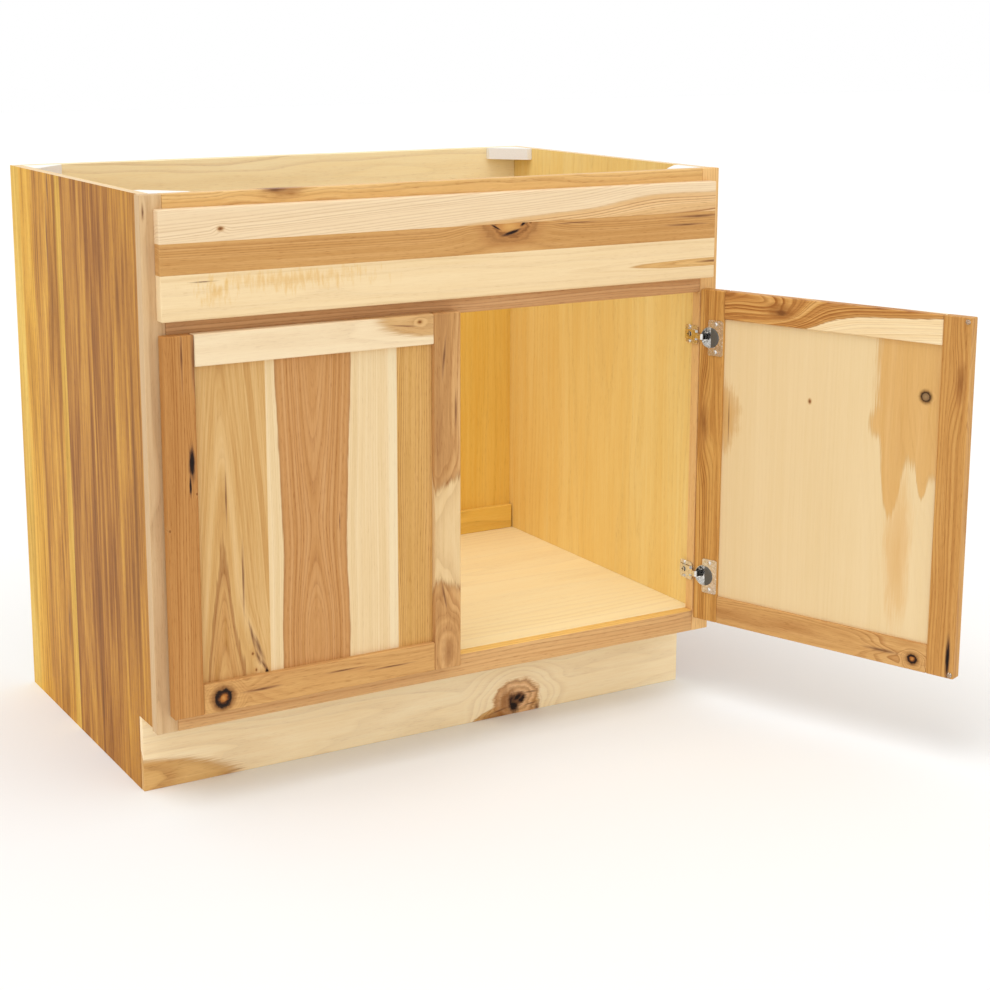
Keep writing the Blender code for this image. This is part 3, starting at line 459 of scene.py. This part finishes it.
# False front: three hickory staves glued edge to edge into one slab and screwed on from behind.
# The top and bottom staves are sapwood; the middle one is heart with a swirling knot on its glue line.
front_low, front_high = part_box("false_front")
LOWER_GLUE_LINE, UPPER_GLUE_LINE = 0.768, 0.811
timber("false_front", "hickory_false_front", RIGHT, UP, Vector((0, front_low.y, 0)),
       [dict(tones=HEART, sap="E5C693 EBCE9E EFD4A6 F2D9AD F5DEB5", rim="A8703C", soft=0.003,
             pith=0.735, depth=0.10, heart=0.08, wander=0.0015, contrast=0.6, line=0.3,
             to=LOWER_GLUE_LINE,
             marks=[("bay", 0.50, 0.731, 0.30, 0.010, 0.0, -0.040),
                    ("mineral_streak", 0.455, 0.732, 0.07, 0.005),
                    ("mineral_streak", -0.402, 0.757, 0.05, 0.003),
                    ("curl", -0.27, 0.752, 0.36, 0.044), ("curl", -0.385, 0.740, 0.08, 0.050)]),
        dict(tones="BA8549 C49053 CC9A5C D3A265 DAAC71", pith=0.74, depth=0.02, wander=0.003, line=0.3,
             to=UPPER_GLUE_LINE,
             marks=[("swell", 0.085, 0.812, 0.060, 0.030, 0.0, 0.012),
                    ("eye_knot", 0.085, 0.807, 0.105, 0.056),
                    ("dark_void", 0.087, 0.797, 0.036, 0.006, 0.25),
                    ("dark_void", 0.060, 0.806, 0.020, 0.003, -0.5),
                    ("dark_void", 0.107, 0.809, 0.012, 0.005, 0.6),
                    ("pin_knot", 0.120, 0.810, 0.010, 0.006),
                    ("mineral_streak", 0.430, 0.804, 0.110, 0.006),
                    ("mineral_streak", 0.405, 0.792, 0.100, 0.005),
                    ("mineral_streak", 0.200, 0.806, 0.10, 0.003)]),
        dict(tones="D9AE74 E0B67E E6BE88 EBC692 EFCD9C", sap="E3C89E EACFA7 EED4AD F1D9B3 F4DDBA",
             rim="C89A60", soft=0.006, pith=0.79, depth=0.002, taper=-0.067, heart=0.021, wander=0.003,
             contrast=0.7, line=0.9,
             marks=[("swell", 0.340, 0.845, 0.110, 0.050, 0.0, -0.008),
                    ("pin_knot", -0.375, 0.828, 0.014, 0.009)])])

# The screws that hold it go through the cleats behind the frame: pan heads with a cross recess, of steel
# that is nickel plated, a warm bright grey with soft reflections.


def pick(piece, chosen):
    """Select, in edit mode, only the faces that the test takes."""
    bpy.ops.mesh.select_all(action="DESELECT")
    mesh = bmesh.from_edit_mesh(piece.data)
    for face in mesh.faces:
        if chosen(face):
            face.select_set(True)
    bmesh.update_edit_mesh(piece.data)


NICKEL = finish("nickel_plated_steel", "D5D3CF", "EEECE8", 0.004, (0.18, 0.30), 0.00001, Metallic=0.9)
HEAD_RADIUS, HEAD_RISE, HEAD_ROUND = 0.0032, 0.0018, 0.0010
SHANK_RADIUS, SHANK_LENGTH, SHANK_POINT = 0.0016, 0.008, 0.003
CROSS_REACH, CROSS_WIDTH, CROSS_DEPTH = 0.0019, 0.0009, 0.0012
# The point and the recess narrow to these shares of their width
POINT_TAPER, CROSS_TAPER = 0.1, 0.5
HEAD_STEPS, HEAD_ROUND_STEPS = 24, 4
SMOOTH_ANGLE = math.radians(40)
bpy.ops.object.select_all(action="DESELECT")
bpy.ops.mesh.primitive_cylinder_add(vertices=HEAD_STEPS, radius=HEAD_RADIUS, depth=HEAD_RISE,
                                    location=(0, 0, HEAD_RISE / 2))
bpy.ops.object.transform_apply(location=True, rotation=False, scale=False)
screw = bpy.context.object
screw.data.materials.append(NICKEL)
bpy.ops.object.mode_set(mode="EDIT")
pick(screw, lambda face: face.normal.z > 0.5)
bpy.ops.mesh.bevel(offset=HEAD_ROUND, segments=HEAD_ROUND_STEPS, affect="EDGES")
pick(screw, lambda face: face.normal.z < -0.5)
bpy.ops.mesh.inset(thickness=HEAD_RADIUS - SHANK_RADIUS)
bpy.ops.mesh.extrude_region_move(TRANSFORM_OT_translate={"value": (0, 0, -SHANK_LENGTH)})
bpy.ops.mesh.extrude_region_move(TRANSFORM_OT_translate={"value": (0, 0, -SHANK_POINT)})
bpy.ops.transform.resize(value=(POINT_TAPER, POINT_TAPER, 1))
bpy.ops.object.mode_set(mode="OBJECT")
bpy.ops.object.select_all(action="DESELECT")
bpy.ops.mesh.primitive_cube_add(size=CROSS_WIDTH)
driver_bit = bpy.context.object
bpy.ops.object.mode_set(mode="EDIT")
pick(driver_bit, lambda face: abs(face.normal.z) < 0.5)
bpy.ops.mesh.extrude_faces_move(TRANSFORM_OT_shrink_fatten={"value": CROSS_REACH - CROSS_WIDTH / 2})
bpy.ops.mesh.select_all(action="SELECT")
bpy.ops.transform.resize(value=(1, 1, 2 * CROSS_DEPTH / CROSS_WIDTH))
bpy.ops.transform.translate(value=(0, 0, HEAD_RISE))
pick(driver_bit, lambda face: face.normal.z < -0.5)
bpy.ops.transform.resize(value=(CROSS_TAPER, CROSS_TAPER, 1))
bpy.ops.object.mode_set(mode="OBJECT")
recess = screw.modifiers.new("recess", "BOOLEAN")
recess.object = driver_bit
bpy.ops.object.select_all(action="DESELECT")
screw.select_set(True)
bpy.context.view_layer.objects.active = screw
bpy.ops.object.modifier_apply(modifier="recess")
bpy.ops.object.shade_smooth_by_angle(angle=SMOOTH_ANGLE)
bpy.data.objects.remove(driver_bit)


def fasten(name, place, way, body, swung=STILL):
    """One more of the pan-head screws, the underside of its head at the place and its top that way."""
    piece = screw.copy()
    piece.data = screw.data.copy()
    piece.name = name
    aimed = way.to_track_quat("Z", "Y").to_matrix().to_4x4()
    piece.data.transform(swung @ Matrix.Translation(place) @ aimed)
    bpy.context.scene.collection.objects.link(piece)
    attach(piece, body)


CLEAT_SCREW_SPREAD = 0.035
middle = (front_low.z + front_high.z) / 2
for side in ("left", "right"):
    low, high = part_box("false_front_cleat_" + side)
    for end, way in (("upper", 1), ("lower", -1)):
        fasten("false_front_" + side + "_screw_" + end,
               ((low.x + high.x) / 2, high.y, middle + way * CLEAT_SCREW_SPREAD), BACK, "carcass")

# Staples: flat galvanised wire, driven through the back into the sides, floor and nailers when the rest
# stands. Only the crowns show, a little proud of the panel: upright down the sides and level across.
GALVANISED = finish("galvanised_wire", "A9ABAD", "C6C8CA", 0.002, (0.35, 0.50), 0.00005, Metallic=0.8)
CROWN_LENGTH, CROWN_WIDTH, CROWN_RISE = 0.011, 0.0014, 0.0007
LEG_LENGTH, LEG_WIDTH = 0.004, 0.0009
CROWN_ROUND, CROWN_ROUND_STEPS = CROWN_RISE / 3, 2
STAPLE_FROM_EDGE, STAPLE_STEP = 0.0035, 0.120
bpy.ops.object.select_all(action="DESELECT")
bpy.ops.mesh.primitive_cube_add(size=1)
staple = bpy.context.object
staple.data.materials.append(GALVANISED)
bpy.ops.object.mode_set(mode="EDIT")
bpy.ops.mesh.select_all(action="SELECT")
bpy.ops.transform.resize(value=(CROWN_LENGTH, CROWN_WIDTH, CROWN_RISE))
bpy.ops.transform.translate(value=(0, 0, CROWN_RISE / 2))
leg_inner = CROWN_LENGTH / 2 - LEG_WIDTH
for end in (-1, 1):
    bpy.ops.mesh.select_all(action="SELECT")
    bpy.ops.mesh.bisect(plane_co=(end * leg_inner, 0, 0), plane_no=(1, 0, 0))
pick(staple, lambda face: face.normal.z < -0.5 and abs(face.calc_center_median().x) > leg_inner)
bpy.ops.mesh.extrude_region_move(TRANSFORM_OT_translate={"value": (0, 0, -LEG_LENGTH)})
bpy.ops.object.mode_set(mode="OBJECT")
rounding = staple.modifiers.new("rounding", "BEVEL")
rounding.width, rounding.segments = CROWN_ROUND, CROWN_ROUND_STEPS
bpy.ops.object.modifier_apply(modifier="rounding")
upright = Matrix.Rotation(math.pi / 2, 4, "Z")
driven = []
steps = int((back_high.z - back_low.z) / STAPLE_STEP)
for step in range(steps):
    height = back_low.z + (step + 0.5) * (back_high.z - back_low.z) / steps
    driven += [(end * (back_high.x - STAPLE_FROM_EDGE), height, upright) for end in (-1, 1)]
steps = int((back_high.x - back_low.x) / STAPLE_STEP)
for strip in ("floor_panel", "upper_nailer", "lower_nailer"):
    low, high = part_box(strip)
    for step in range(1, steps):
        x = back_low.x + step * (back_high.x - back_low.x) / steps
        driven.append((x, (low.z + high.z) / 2, STILL))
outwards = BACK.to_track_quat("Z", "Y").to_matrix().to_4x4()
bpy.ops.object.select_all(action="DESELECT")
for x, height, turned in driven:
    piece = staple.copy()
    piece.data = staple.data.copy()
    piece.data.transform(Matrix.Translation((x, back_high.y, height)) @ outwards @ turned)
    bpy.context.scene.collection.objects.link(piece)
    piece.select_set(True)
bpy.data.objects.remove(staple)
bpy.context.view_layer.objects.active = piece
bpy.ops.object.join()
piece.name = "back_panel_staples"
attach(piece, "carcass")

# Doors: hickory stiles and rails, grooved and tongued together round a flat panel, satin lacquered.
# The left panel is glued up from staves; the right one, seen from behind, is one wide pale board.
# The right door is loaded standing open, so its figure is worked out as if it were shut.
door_low, door_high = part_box("left_door_hinge_stile")
door_front, door_back = Vector((0, door_low.y, 0)), Vector((0, door_high.y, 0))
swing = next(j for j in frame["joints"] if j["child"] == "right_door")
pivot = Matrix.Translation(swing["pos_m"])
opening = Matrix.Rotation(math.radians(-swing["range_deg"][0]), 4, swing["axis"])
opened = pivot @ opening @ pivot.inverted()

timber("left_door_hinge_stile", "hickory_door_frame", UP, RIGHT, door_front,
       [dict(tones="A87038 B57C41 BF874A C89254 D19E62", pith=-0.60, depth=0.05,
             marks=[("mineral_streak", 0.655, -0.438, 0.10, 0.005),
                    ("mineral_streak", 0.655, -0.421, 0.13, 0.009),
                    ("mineral_streak", 0.672, -0.418, 0.09, 0.007),
                    ("mineral_streak", 0.610, -0.419, 0.06, 0.004),
                    ("dark_void", 0.507, -0.427, 0.050, 0.010),
                    ("dark_void", 0.475, -0.430, 0.030, 0.004),
                    ("pin_knot", 0.463, -0.421, 0.008, 0.006),
                    ("pin_knot", 0.415, -0.462, 0.008, 0.005)])])
timber("left_door_free_stile", "hickory_door_frame", UP, RIGHT, door_front,
       [dict(tones="AC7A4A C08F58 D0A067 DBAE76 E5BC87", sap="D4B17C DCBB86 E2C28F E6C897 EACE9F",
             rim="8A5E38", soft=0.005, fray=0.010, pith=-0.03, depth=0.12, heart=0.135, wander=0.004,
             line=0.45,
             marks=[("bay", 0.352, -0.020, 0.11, 0.10, 0.3, 0.036),
                    ("swirl_knot", 0.165, -0.022, 0.06, 0.030),
                    ("mineral_streak", 0.620, -0.030, 0.09, 0.006, 0.1),
                    ("mineral_streak", 0.540, -0.010, 0.08, 0.005),
                    ("mineral_streak", 0.255, -0.030, 0.06, 0.005, -0.2)])])
timber("left_door_top_rail", "hickory_door_frame", RIGHT, UP, door_front,
       [dict(tones="C99A60 D2A56B D9AF76 E0B882 E7C290", sap="E3C8A0 EAD0A8 EED6AF F1DBB5 F4DFBC",
             rim="B08450", soft=0.006, fray=0.008, pith=0.66, depth=0.10, heart=0.085, wander=0.003,
             contrast=0.6,
             marks=[("bay", -0.020, 0.690, 0.18, 0.055, 0.0, -0.035),
                    ("pin_knot", -0.070, 0.676, 0.012, 0.008),
                    ("mineral_streak", -0.095, 0.672, 0.06, 0.003, -0.1)])])
timber("left_door_bottom_rail", "hickory_door_frame", RIGHT, UP, door_front,
       [dict(tones="BC8850 C8955A D1A062 D9AA6C E0B478", pith=0.15, depth=0.06, wander=0.006, line=0.5,
             marks=[("ring_knot", -0.390, 0.160, 0.032, 0.034),
                    ("swell", -0.380, 0.158, 0.08, 0.04, 0.0, 0.010),
                    ("mineral_streak", -0.330, 0.163, 0.080, 0.006),
                    ("mineral_streak", -0.20, 0.168, 0.08, 0.004),
                    ("mineral_streak", -0.120, 0.160, 0.10, 0.004)])])
panel_heart = "B8824A C08A50 C8935A CE9B63 D5A46F"
panel_sap = "DFC08F E4C796 E8CC9D EBD1A4 EED6AC"
timber("left_door_panel", "hickory_door_panel", UP, RIGHT, door_front,
       [dict(tones="AE7B40 BC894A C8965A D0A264 D8AC70", sap="BC8C50 C99A5C D2A668 D9B074 E0BA82",
             pith=-0.381, depth=0.002, taper=0.086, heart=0.0456, contrast=0.9, line=0.35, to=-0.312,
             marks=[("mineral_streak", 0.450, -0.375, 0.10, 0.004),
                    ("mineral_streak", 0.330, -0.352, 0.14, 0.005),
                    ("swell", 0.205, -0.328, 0.08, 0.030, 0.0, -0.012),
                    ("mineral_streak", 0.222, -0.330, 0.06, 0.010, -0.35),
                    ("mineral_streak", 0.196, -0.323, 0.036, 0.008, -0.5),
                    ("mineral_streak", 0.209, -0.332, 0.030, 0.007, -0.3),
                    ("dark_void", 0.184, -0.318, 0.014, 0.006, -0.2),
                    ("mineral_streak", 0.242, -0.340, 0.06, 0.006, -0.2),
                    ("pin_knot", 0.215, -0.340, 0.008, 0.006),
                    ("pin_knot", 0.190, -0.335, 0.007, 0.005)]),
        dict(tones=panel_heart, sap=panel_sap, pith=-0.238, depth=0.010, heart=0.053, wander=0.002,
             line=0.35, to=-0.118,
             marks=[("swell", 0.740, -0.238, 0.360, 0.100, 0.0, -0.020),
                    ("swell", 0.217, -0.236, 0.150, 0.060, 0.0, -0.018),
                    ("mineral_streak", 0.392, -0.199, 0.04, 0.003)]),
        dict(tones="E6CDA0 EAD2A7 ECD6AD EEDAB2 F0DEB8", pith=0.10, contrast=0.4, line=0.1, pore=0.2,
             to=-0.104),
        dict(tones="C3924C CC9C57 D3A45F D9AB68 DFB373", pith=0.2, contrast=0.7)])

timber("right_door_hinge_stile", "hickory_door_frame", UP, RIGHT, door_back,
       [dict(tones="A46C30 BC8442 CE9850 DAA85E E5B870", pith=0.42, depth=0.02, wander=0.006, line=0.6,
             contrast=0.9, marks=[("swirl_knot", 0.470, 0.452, 0.090, 0.022)])], carried=opened)
timber("right_door_free_stile", "hickory_door_frame", UP, RIGHT, door_back,
       [dict(tones="B57D42 C18A49 CB9551 D39F5A DAA966", pith=0.20, depth=0.04, wander=0.005,
             marks=[("dark_void", 0.172, 0.012, 0.066, 0.008),
                    ("swirl_knot", 0.590, 0.014, 0.080, 0.020)])],
       carried=opened)
timber("right_door_top_rail", "hickory_door_frame", RIGHT, UP, door_back,
       [dict(tones="9A6430 B87E42 CC9450 DBA862 E9BC7A", sap="ECCD99 F1D5A4 F5DBAC F7E0B4 F9E4BB",
             line=0.7, pith=0.70, depth=0.004, taper=-0.08, heart=0.017, wander=0.004, contrast=1.0,
             marks=[("swell", 0.420, 0.635, 0.20, 0.10, 0.0, -0.045),
                    ("dark_void", 0.315, 0.662, 0.020, 0.009),
                    ("swirl_knot", 0.318, 0.664, 0.070, 0.030)])],
       carried=opened)
timber("right_door_bottom_rail", "hickory_door_frame", RIGHT, UP, door_back,
       [dict(tones="B8864C C8965A D4A466 DEB072 E7BE82", pith=0.15, depth=0.06, wander=0.007, line=0.6,
             marks=[("ring_knot", 0.069, 0.157, 0.020, 0.018),
                    ("swell", 0.080, 0.158, 0.08, 0.04, 0.0, 0.010),
                    ("mineral_streak", 0.120, 0.160, 0.080, 0.008)])],
       carried=opened)
timber("right_door_panel", "hickory_door_panel", UP, RIGHT, door_back,
       [dict(tones="CF9E58 D7A864 DDB06E E2B87A E7C187", sap="E5C895 E8CD9B EAD0A0 ECD3A5 EED6AA",
             rim="C08E4C", soft=0.011, fray=0.020, pith=-0.05, depth=0.15, heart=0.247, wander=0.003,
             ring=0.007, contrast=0.35, line=0.07, streaky=0.2, pore=0.10,
             marks=[("bay", 0.200, 0.030, 0.34, 0.16, 0.0, 0.16),
                    ("bay", 0.508, 0.152, 0.03, 0.022, 0.0, -0.012),
                    ("bay", 0.425, 0.121, 0.13, 0.020, 0.0, -0.05),
                    ("bay", 0.450, 0.070, 0.07, 0.010, 0.0, -0.04),
                    ("stain_and_shade", 0.320, 0.105, 0.260, 0.050), ("plug_knot", 0.561, 0.070, 0.018, 0.018),
                    ("heart_knot", 0.485, 0.424, 0.110, 0.070),
                    ("mineral_streak", 0.480, 0.408, 0.10, 0.003),
                    ("pin_knot", 0.529, 0.263, 0.012, 0.008)])],
       carried=opened)

# Hinges: stamped steel, nickel plated, each screwed to the edge of the stile and to the back of the door.
# The plate, arm and cam stay on the frame. The cup, its pin and the soft-close unit, of dull dark grey
# acetal, swing with the door. The arm's end is black where it is sleeved. The cam is black but for a
# thin sliver of nickel: painted shade for the shadow in its recess and at its edge.
DAMPER_GREY = finish("damper_acetal", "4C4A44", "5E5B53", 0.0012, (0.42, 0.58), 0.0001)
BLACK, SLEEVE_REACH, CAM_BRIGHT = "1C1B1A", 0.0075, 0.0003
LEVEL = RIGHT + BACK


def part_black(name, middle, over, reach):
    """Nickel plate that is black up to a distance from its middle, measured only over the axes given."""
    material = NICKEL.copy()
    material.name = name
    tree = material.node_tree
    at = add(tree, "TexCoord").outputs["Object"]
    away = add(tree, "Mapping", dict(Vector=at, Location=-middle * over, Scale=over))
    away = add(tree, "VectorMath", [away], operation="LENGTH").outputs["Value"]
    bare = add(tree, "Math", [away, reach], operation="GREATER_THAN")
    shader = tree.nodes["Principled BSDF"]
    plated = shader.inputs["Base Color"].links[0].from_socket
    colour = add(tree, "Mix", [bare, (*rgb(BLACK), 1), plated], data_type="RGBA")
    tree.links.new(next(s for s in colour.outputs if s.enabled), shader.inputs["Base Color"])
    tree.links.new(bare.outputs[0], shader.inputs["Metallic"])
    return material


PLATE_SCREW_FROM_BACK, PLATE_SCREW_SPREAD = 0.0105, 0.0115
FLANGE_SCREW_FROM_EDGE, FLANGE_SCREW_SPREAD = 0.030, 0.0225
for door, side, swung in (("left_door", -1, STILL), ("right_door", 1, opened)):
    for level in ("upper", "lower"):
        hinge = door + "_" + level + "_hinge"
        for piece in ("frame_plate", "cup", "pin"):
            dress(hinge + "_" + piece, NICKEL)
        dress(hinge + "_damper", DAMPER_GREY)
        pin = sum(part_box(hinge + "_pin"), Vector()) / 2
        dress(hinge + "_arm", part_black("sleeved_arm." + hinge, pin, LEVEL, SLEEVE_REACH))
        # The cam's black is painted shade, standing in for the shadow in its recess and at its edge
        low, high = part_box(hinge + "_cam_screw")
        dress(hinge + "_cam_screw", part_black("cam_painted_shade." + hinge, high if side > 0 else low, RIGHT,
                                               high.x - low.x - CAM_BRIGHT))
        low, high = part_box(hinge + "_frame_plate")
        middle = (low.z + high.z) / 2
        face_x = side * min(abs(low.x), abs(high.x))
        cup_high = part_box("left_door_" + level + "_hinge_cup")[1]
        flange_x = side * (-door_low.x - FLANGE_SCREW_FROM_EDGE)
        for end, way in (("upper", 1), ("lower", -1)):
            fasten(hinge + "_plate_screw_" + end,
                   (face_x, high.y - PLATE_SCREW_FROM_BACK, middle + way * PLATE_SCREW_SPREAD),
                   -side * RIGHT, "carcass")
            fasten(hinge + "_flange_screw_" + end,
                   (flange_x, cup_high.y, middle + way * FLANGE_SCREW_SPREAD), BACK, door, swung)
bpy.data.objects.remove(screw)

# Bumpers: clear soft domes stuck to the back of each door at its free corners, to quiet it on the frame.
# Cast polyurethane lets the wood's colour through and keeps a soft bright edge.
POLYURETHANE = finish("cast_polyurethane", "EDEAE0", "F7F5EE", 0.002, (0.10, 0.22), 0.00005,
                      Transmission_Weight=0.9, IOR=1.49)
DOME_STEPS = 32
for door, swung in (("left_door", STILL), ("right_door", opened)):
    for level in ("upper", "lower"):
        low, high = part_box("left_door_" + level + "_bumper")
        middle = (low + high) / 2
        if door == "right_door":
            middle.x = -middle.x
        radius = (high.x - low.x) / 2
        bpy.ops.object.select_all(action="DESELECT")
        bpy.ops.mesh.primitive_uv_sphere_add(segments=DOME_STEPS, ring_count=DOME_STEPS // 2,
                                             radius=radius)
        dome = bpy.context.object
        dome.name = door + "_" + level + "_bumper_dome"
        bpy.ops.object.mode_set(mode="EDIT")
        bpy.ops.mesh.select_all(action="SELECT")
        bpy.ops.transform.resize(value=(1, 1, (high.y - low.y) / radius))
        bpy.ops.mesh.bisect(plane_co=(0, 0, 0), plane_no=(0, 0, 1), clear_inner=True, use_fill=True)
        bpy.ops.object.mode_set(mode="OBJECT")
        bpy.ops.object.shade_smooth_by_angle(angle=SMOOTH_ANGLE)
        stuck = Matrix.Translation((middle.x, low.y, middle.z))
        dome.data.transform(swung @ stuck @ BACK.to_track_quat("Z", "Y").to_matrix().to_4x4())
        dome.data.materials.append(POLYURETHANE)
        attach(dome, door)
        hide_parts(door + "_" + level + "_bumper")

# Studio: a pale floor and a white room. The camera and reflections see the room as plain white.
# It lights the cabinet softly from all round, most from overhead, and three wide soft lamps, far off,
# give the shading.
FLOOR_PALE, FLOOR_ROUGHNESS, FLOOR_SIZE = "F0F0EF", 0.9, 40
ROOM_LIGHT, CEILING_EXTRA = 0.58, 0.47
scene = bpy.context.scene
world = bpy.data.worlds.new("studio")
scene.world = world
world.use_nodes = True
tree = world.node_tree
tree.nodes.clear()


def seen_directly(tree):
    """1 for rays from the camera and for reflected or refracted ones."""
    path = add(tree, "LightPath").outputs
    seen = add(tree, "Math", [path["Is Camera Ray"], path["Is Glossy Ray"]], operation="MAXIMUM")
    return add(tree, "Math", [seen, path["Is Transmission Ray"]], operation="MAXIMUM")


rise = add(tree, "SeparateXYZ", [add(tree, "TexCoord").outputs["Generated"]]).outputs["Z"]
level = add(tree, "MapRange", [rise, 0.0, 1.0, ROOM_LIGHT, ROOM_LIGHT + CEILING_EXTRA])
strength = add(tree, "MapRange", [seen_directly(tree), 0.0, 1.0, level, 1.0])
room = add(tree, "Background", [(1, 1, 1, 1), strength])
add(tree, "OutputWorld", [room])

# Each lamp: where it stands, how wide it looks in degrees, and its light on a surface that faces it
LAMPS = {"key": (Vector((0.35, -0.66, 0.66)), 50.0, 0.10),
         "fill": (Vector((-0.45, -0.85, 0.28)), 40.0, 0.10),
         "overhead": (Vector((-0.42, -0.10, 0.90)), 36.0, 0.26)}
# A floor under such a room gets two thirds of what the ceiling adds
floor_light = ROOM_LIGHT + 2 / 3 * CEILING_EXTRA
for name, (way, width_deg, light) in LAMPS.items():
    lamp = bpy.data.objects.new(name, bpy.data.lights.new(name, "SUN"))
    scene.collection.objects.link(lamp)
    lamp.data.angle = math.radians(width_deg)
    lamp.data.energy = math.pi * light
    lamp.rotation_euler = way.to_track_quat("Z", "Y").to_euler()
    floor_light += light * way.normalized().z

bpy.ops.object.select_all(action="DESELECT")
bpy.ops.mesh.primitive_plane_add(size=FLOOR_SIZE)
floor = bpy.context.object
floor.name = "studio_floor"
paint = bpy.data.materials.new("matt_floor_paint")
paint.use_nodes = True
tree = paint.node_tree
shader = tree.nodes["Principled BSDF"]
shader.inputs["Base Color"].default_value = (*rgb(FLOOR_PALE), 1)
shader.inputs["Roughness"].default_value = FLOOR_ROUGHNESS
shader.inputs["Specular IOR Level"].default_value = 0.0
# What the floor lacks of plain white, away from the shadow, is added for the eye only
lack = max(0.0, 1.0 - floor_light * min(rgb(FLOOR_PALE)))
glow = add(tree, "Math", [seen_directly(tree), lack], operation="MULTIPLY")
shine = add(tree, "Emission", [(1, 1, 1, 1), glow])
both = add(tree, "AddShader", [shader, shine])
tree.links.new(both.outputs[0], tree.nodes["Material Output"].inputs["Surface"])
floor.data.materials.append(paint)
floor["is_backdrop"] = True

# Camera: the photograph's view, from the left and a little above.
# The lens is shifted so that the cabinet stands high in the picture.
CAMERA_PLACE = (-1.34105, -2.45689, 1.10446)
TILT_DOWN, TURN_RIGHT = 0.1986, 0.5199
SENSOR_WIDTH_MM, LENS_MM = 36.0, 67.80
LENS_SHIFT = (0.03, -0.10)
camera = bpy.data.objects.new("camera", bpy.data.cameras.new("camera"))
scene.collection.objects.link(camera)
camera.location = CAMERA_PLACE
camera.rotation_euler = (math.pi / 2 - TILT_DOWN, 0, -TURN_RIGHT)
camera.data.sensor_width = SENSOR_WIDTH_MM
camera.data.lens = LENS_MM
camera.data.shift_x, camera.data.shift_y = LENS_SHIFT
scene.camera = camera

low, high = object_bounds()
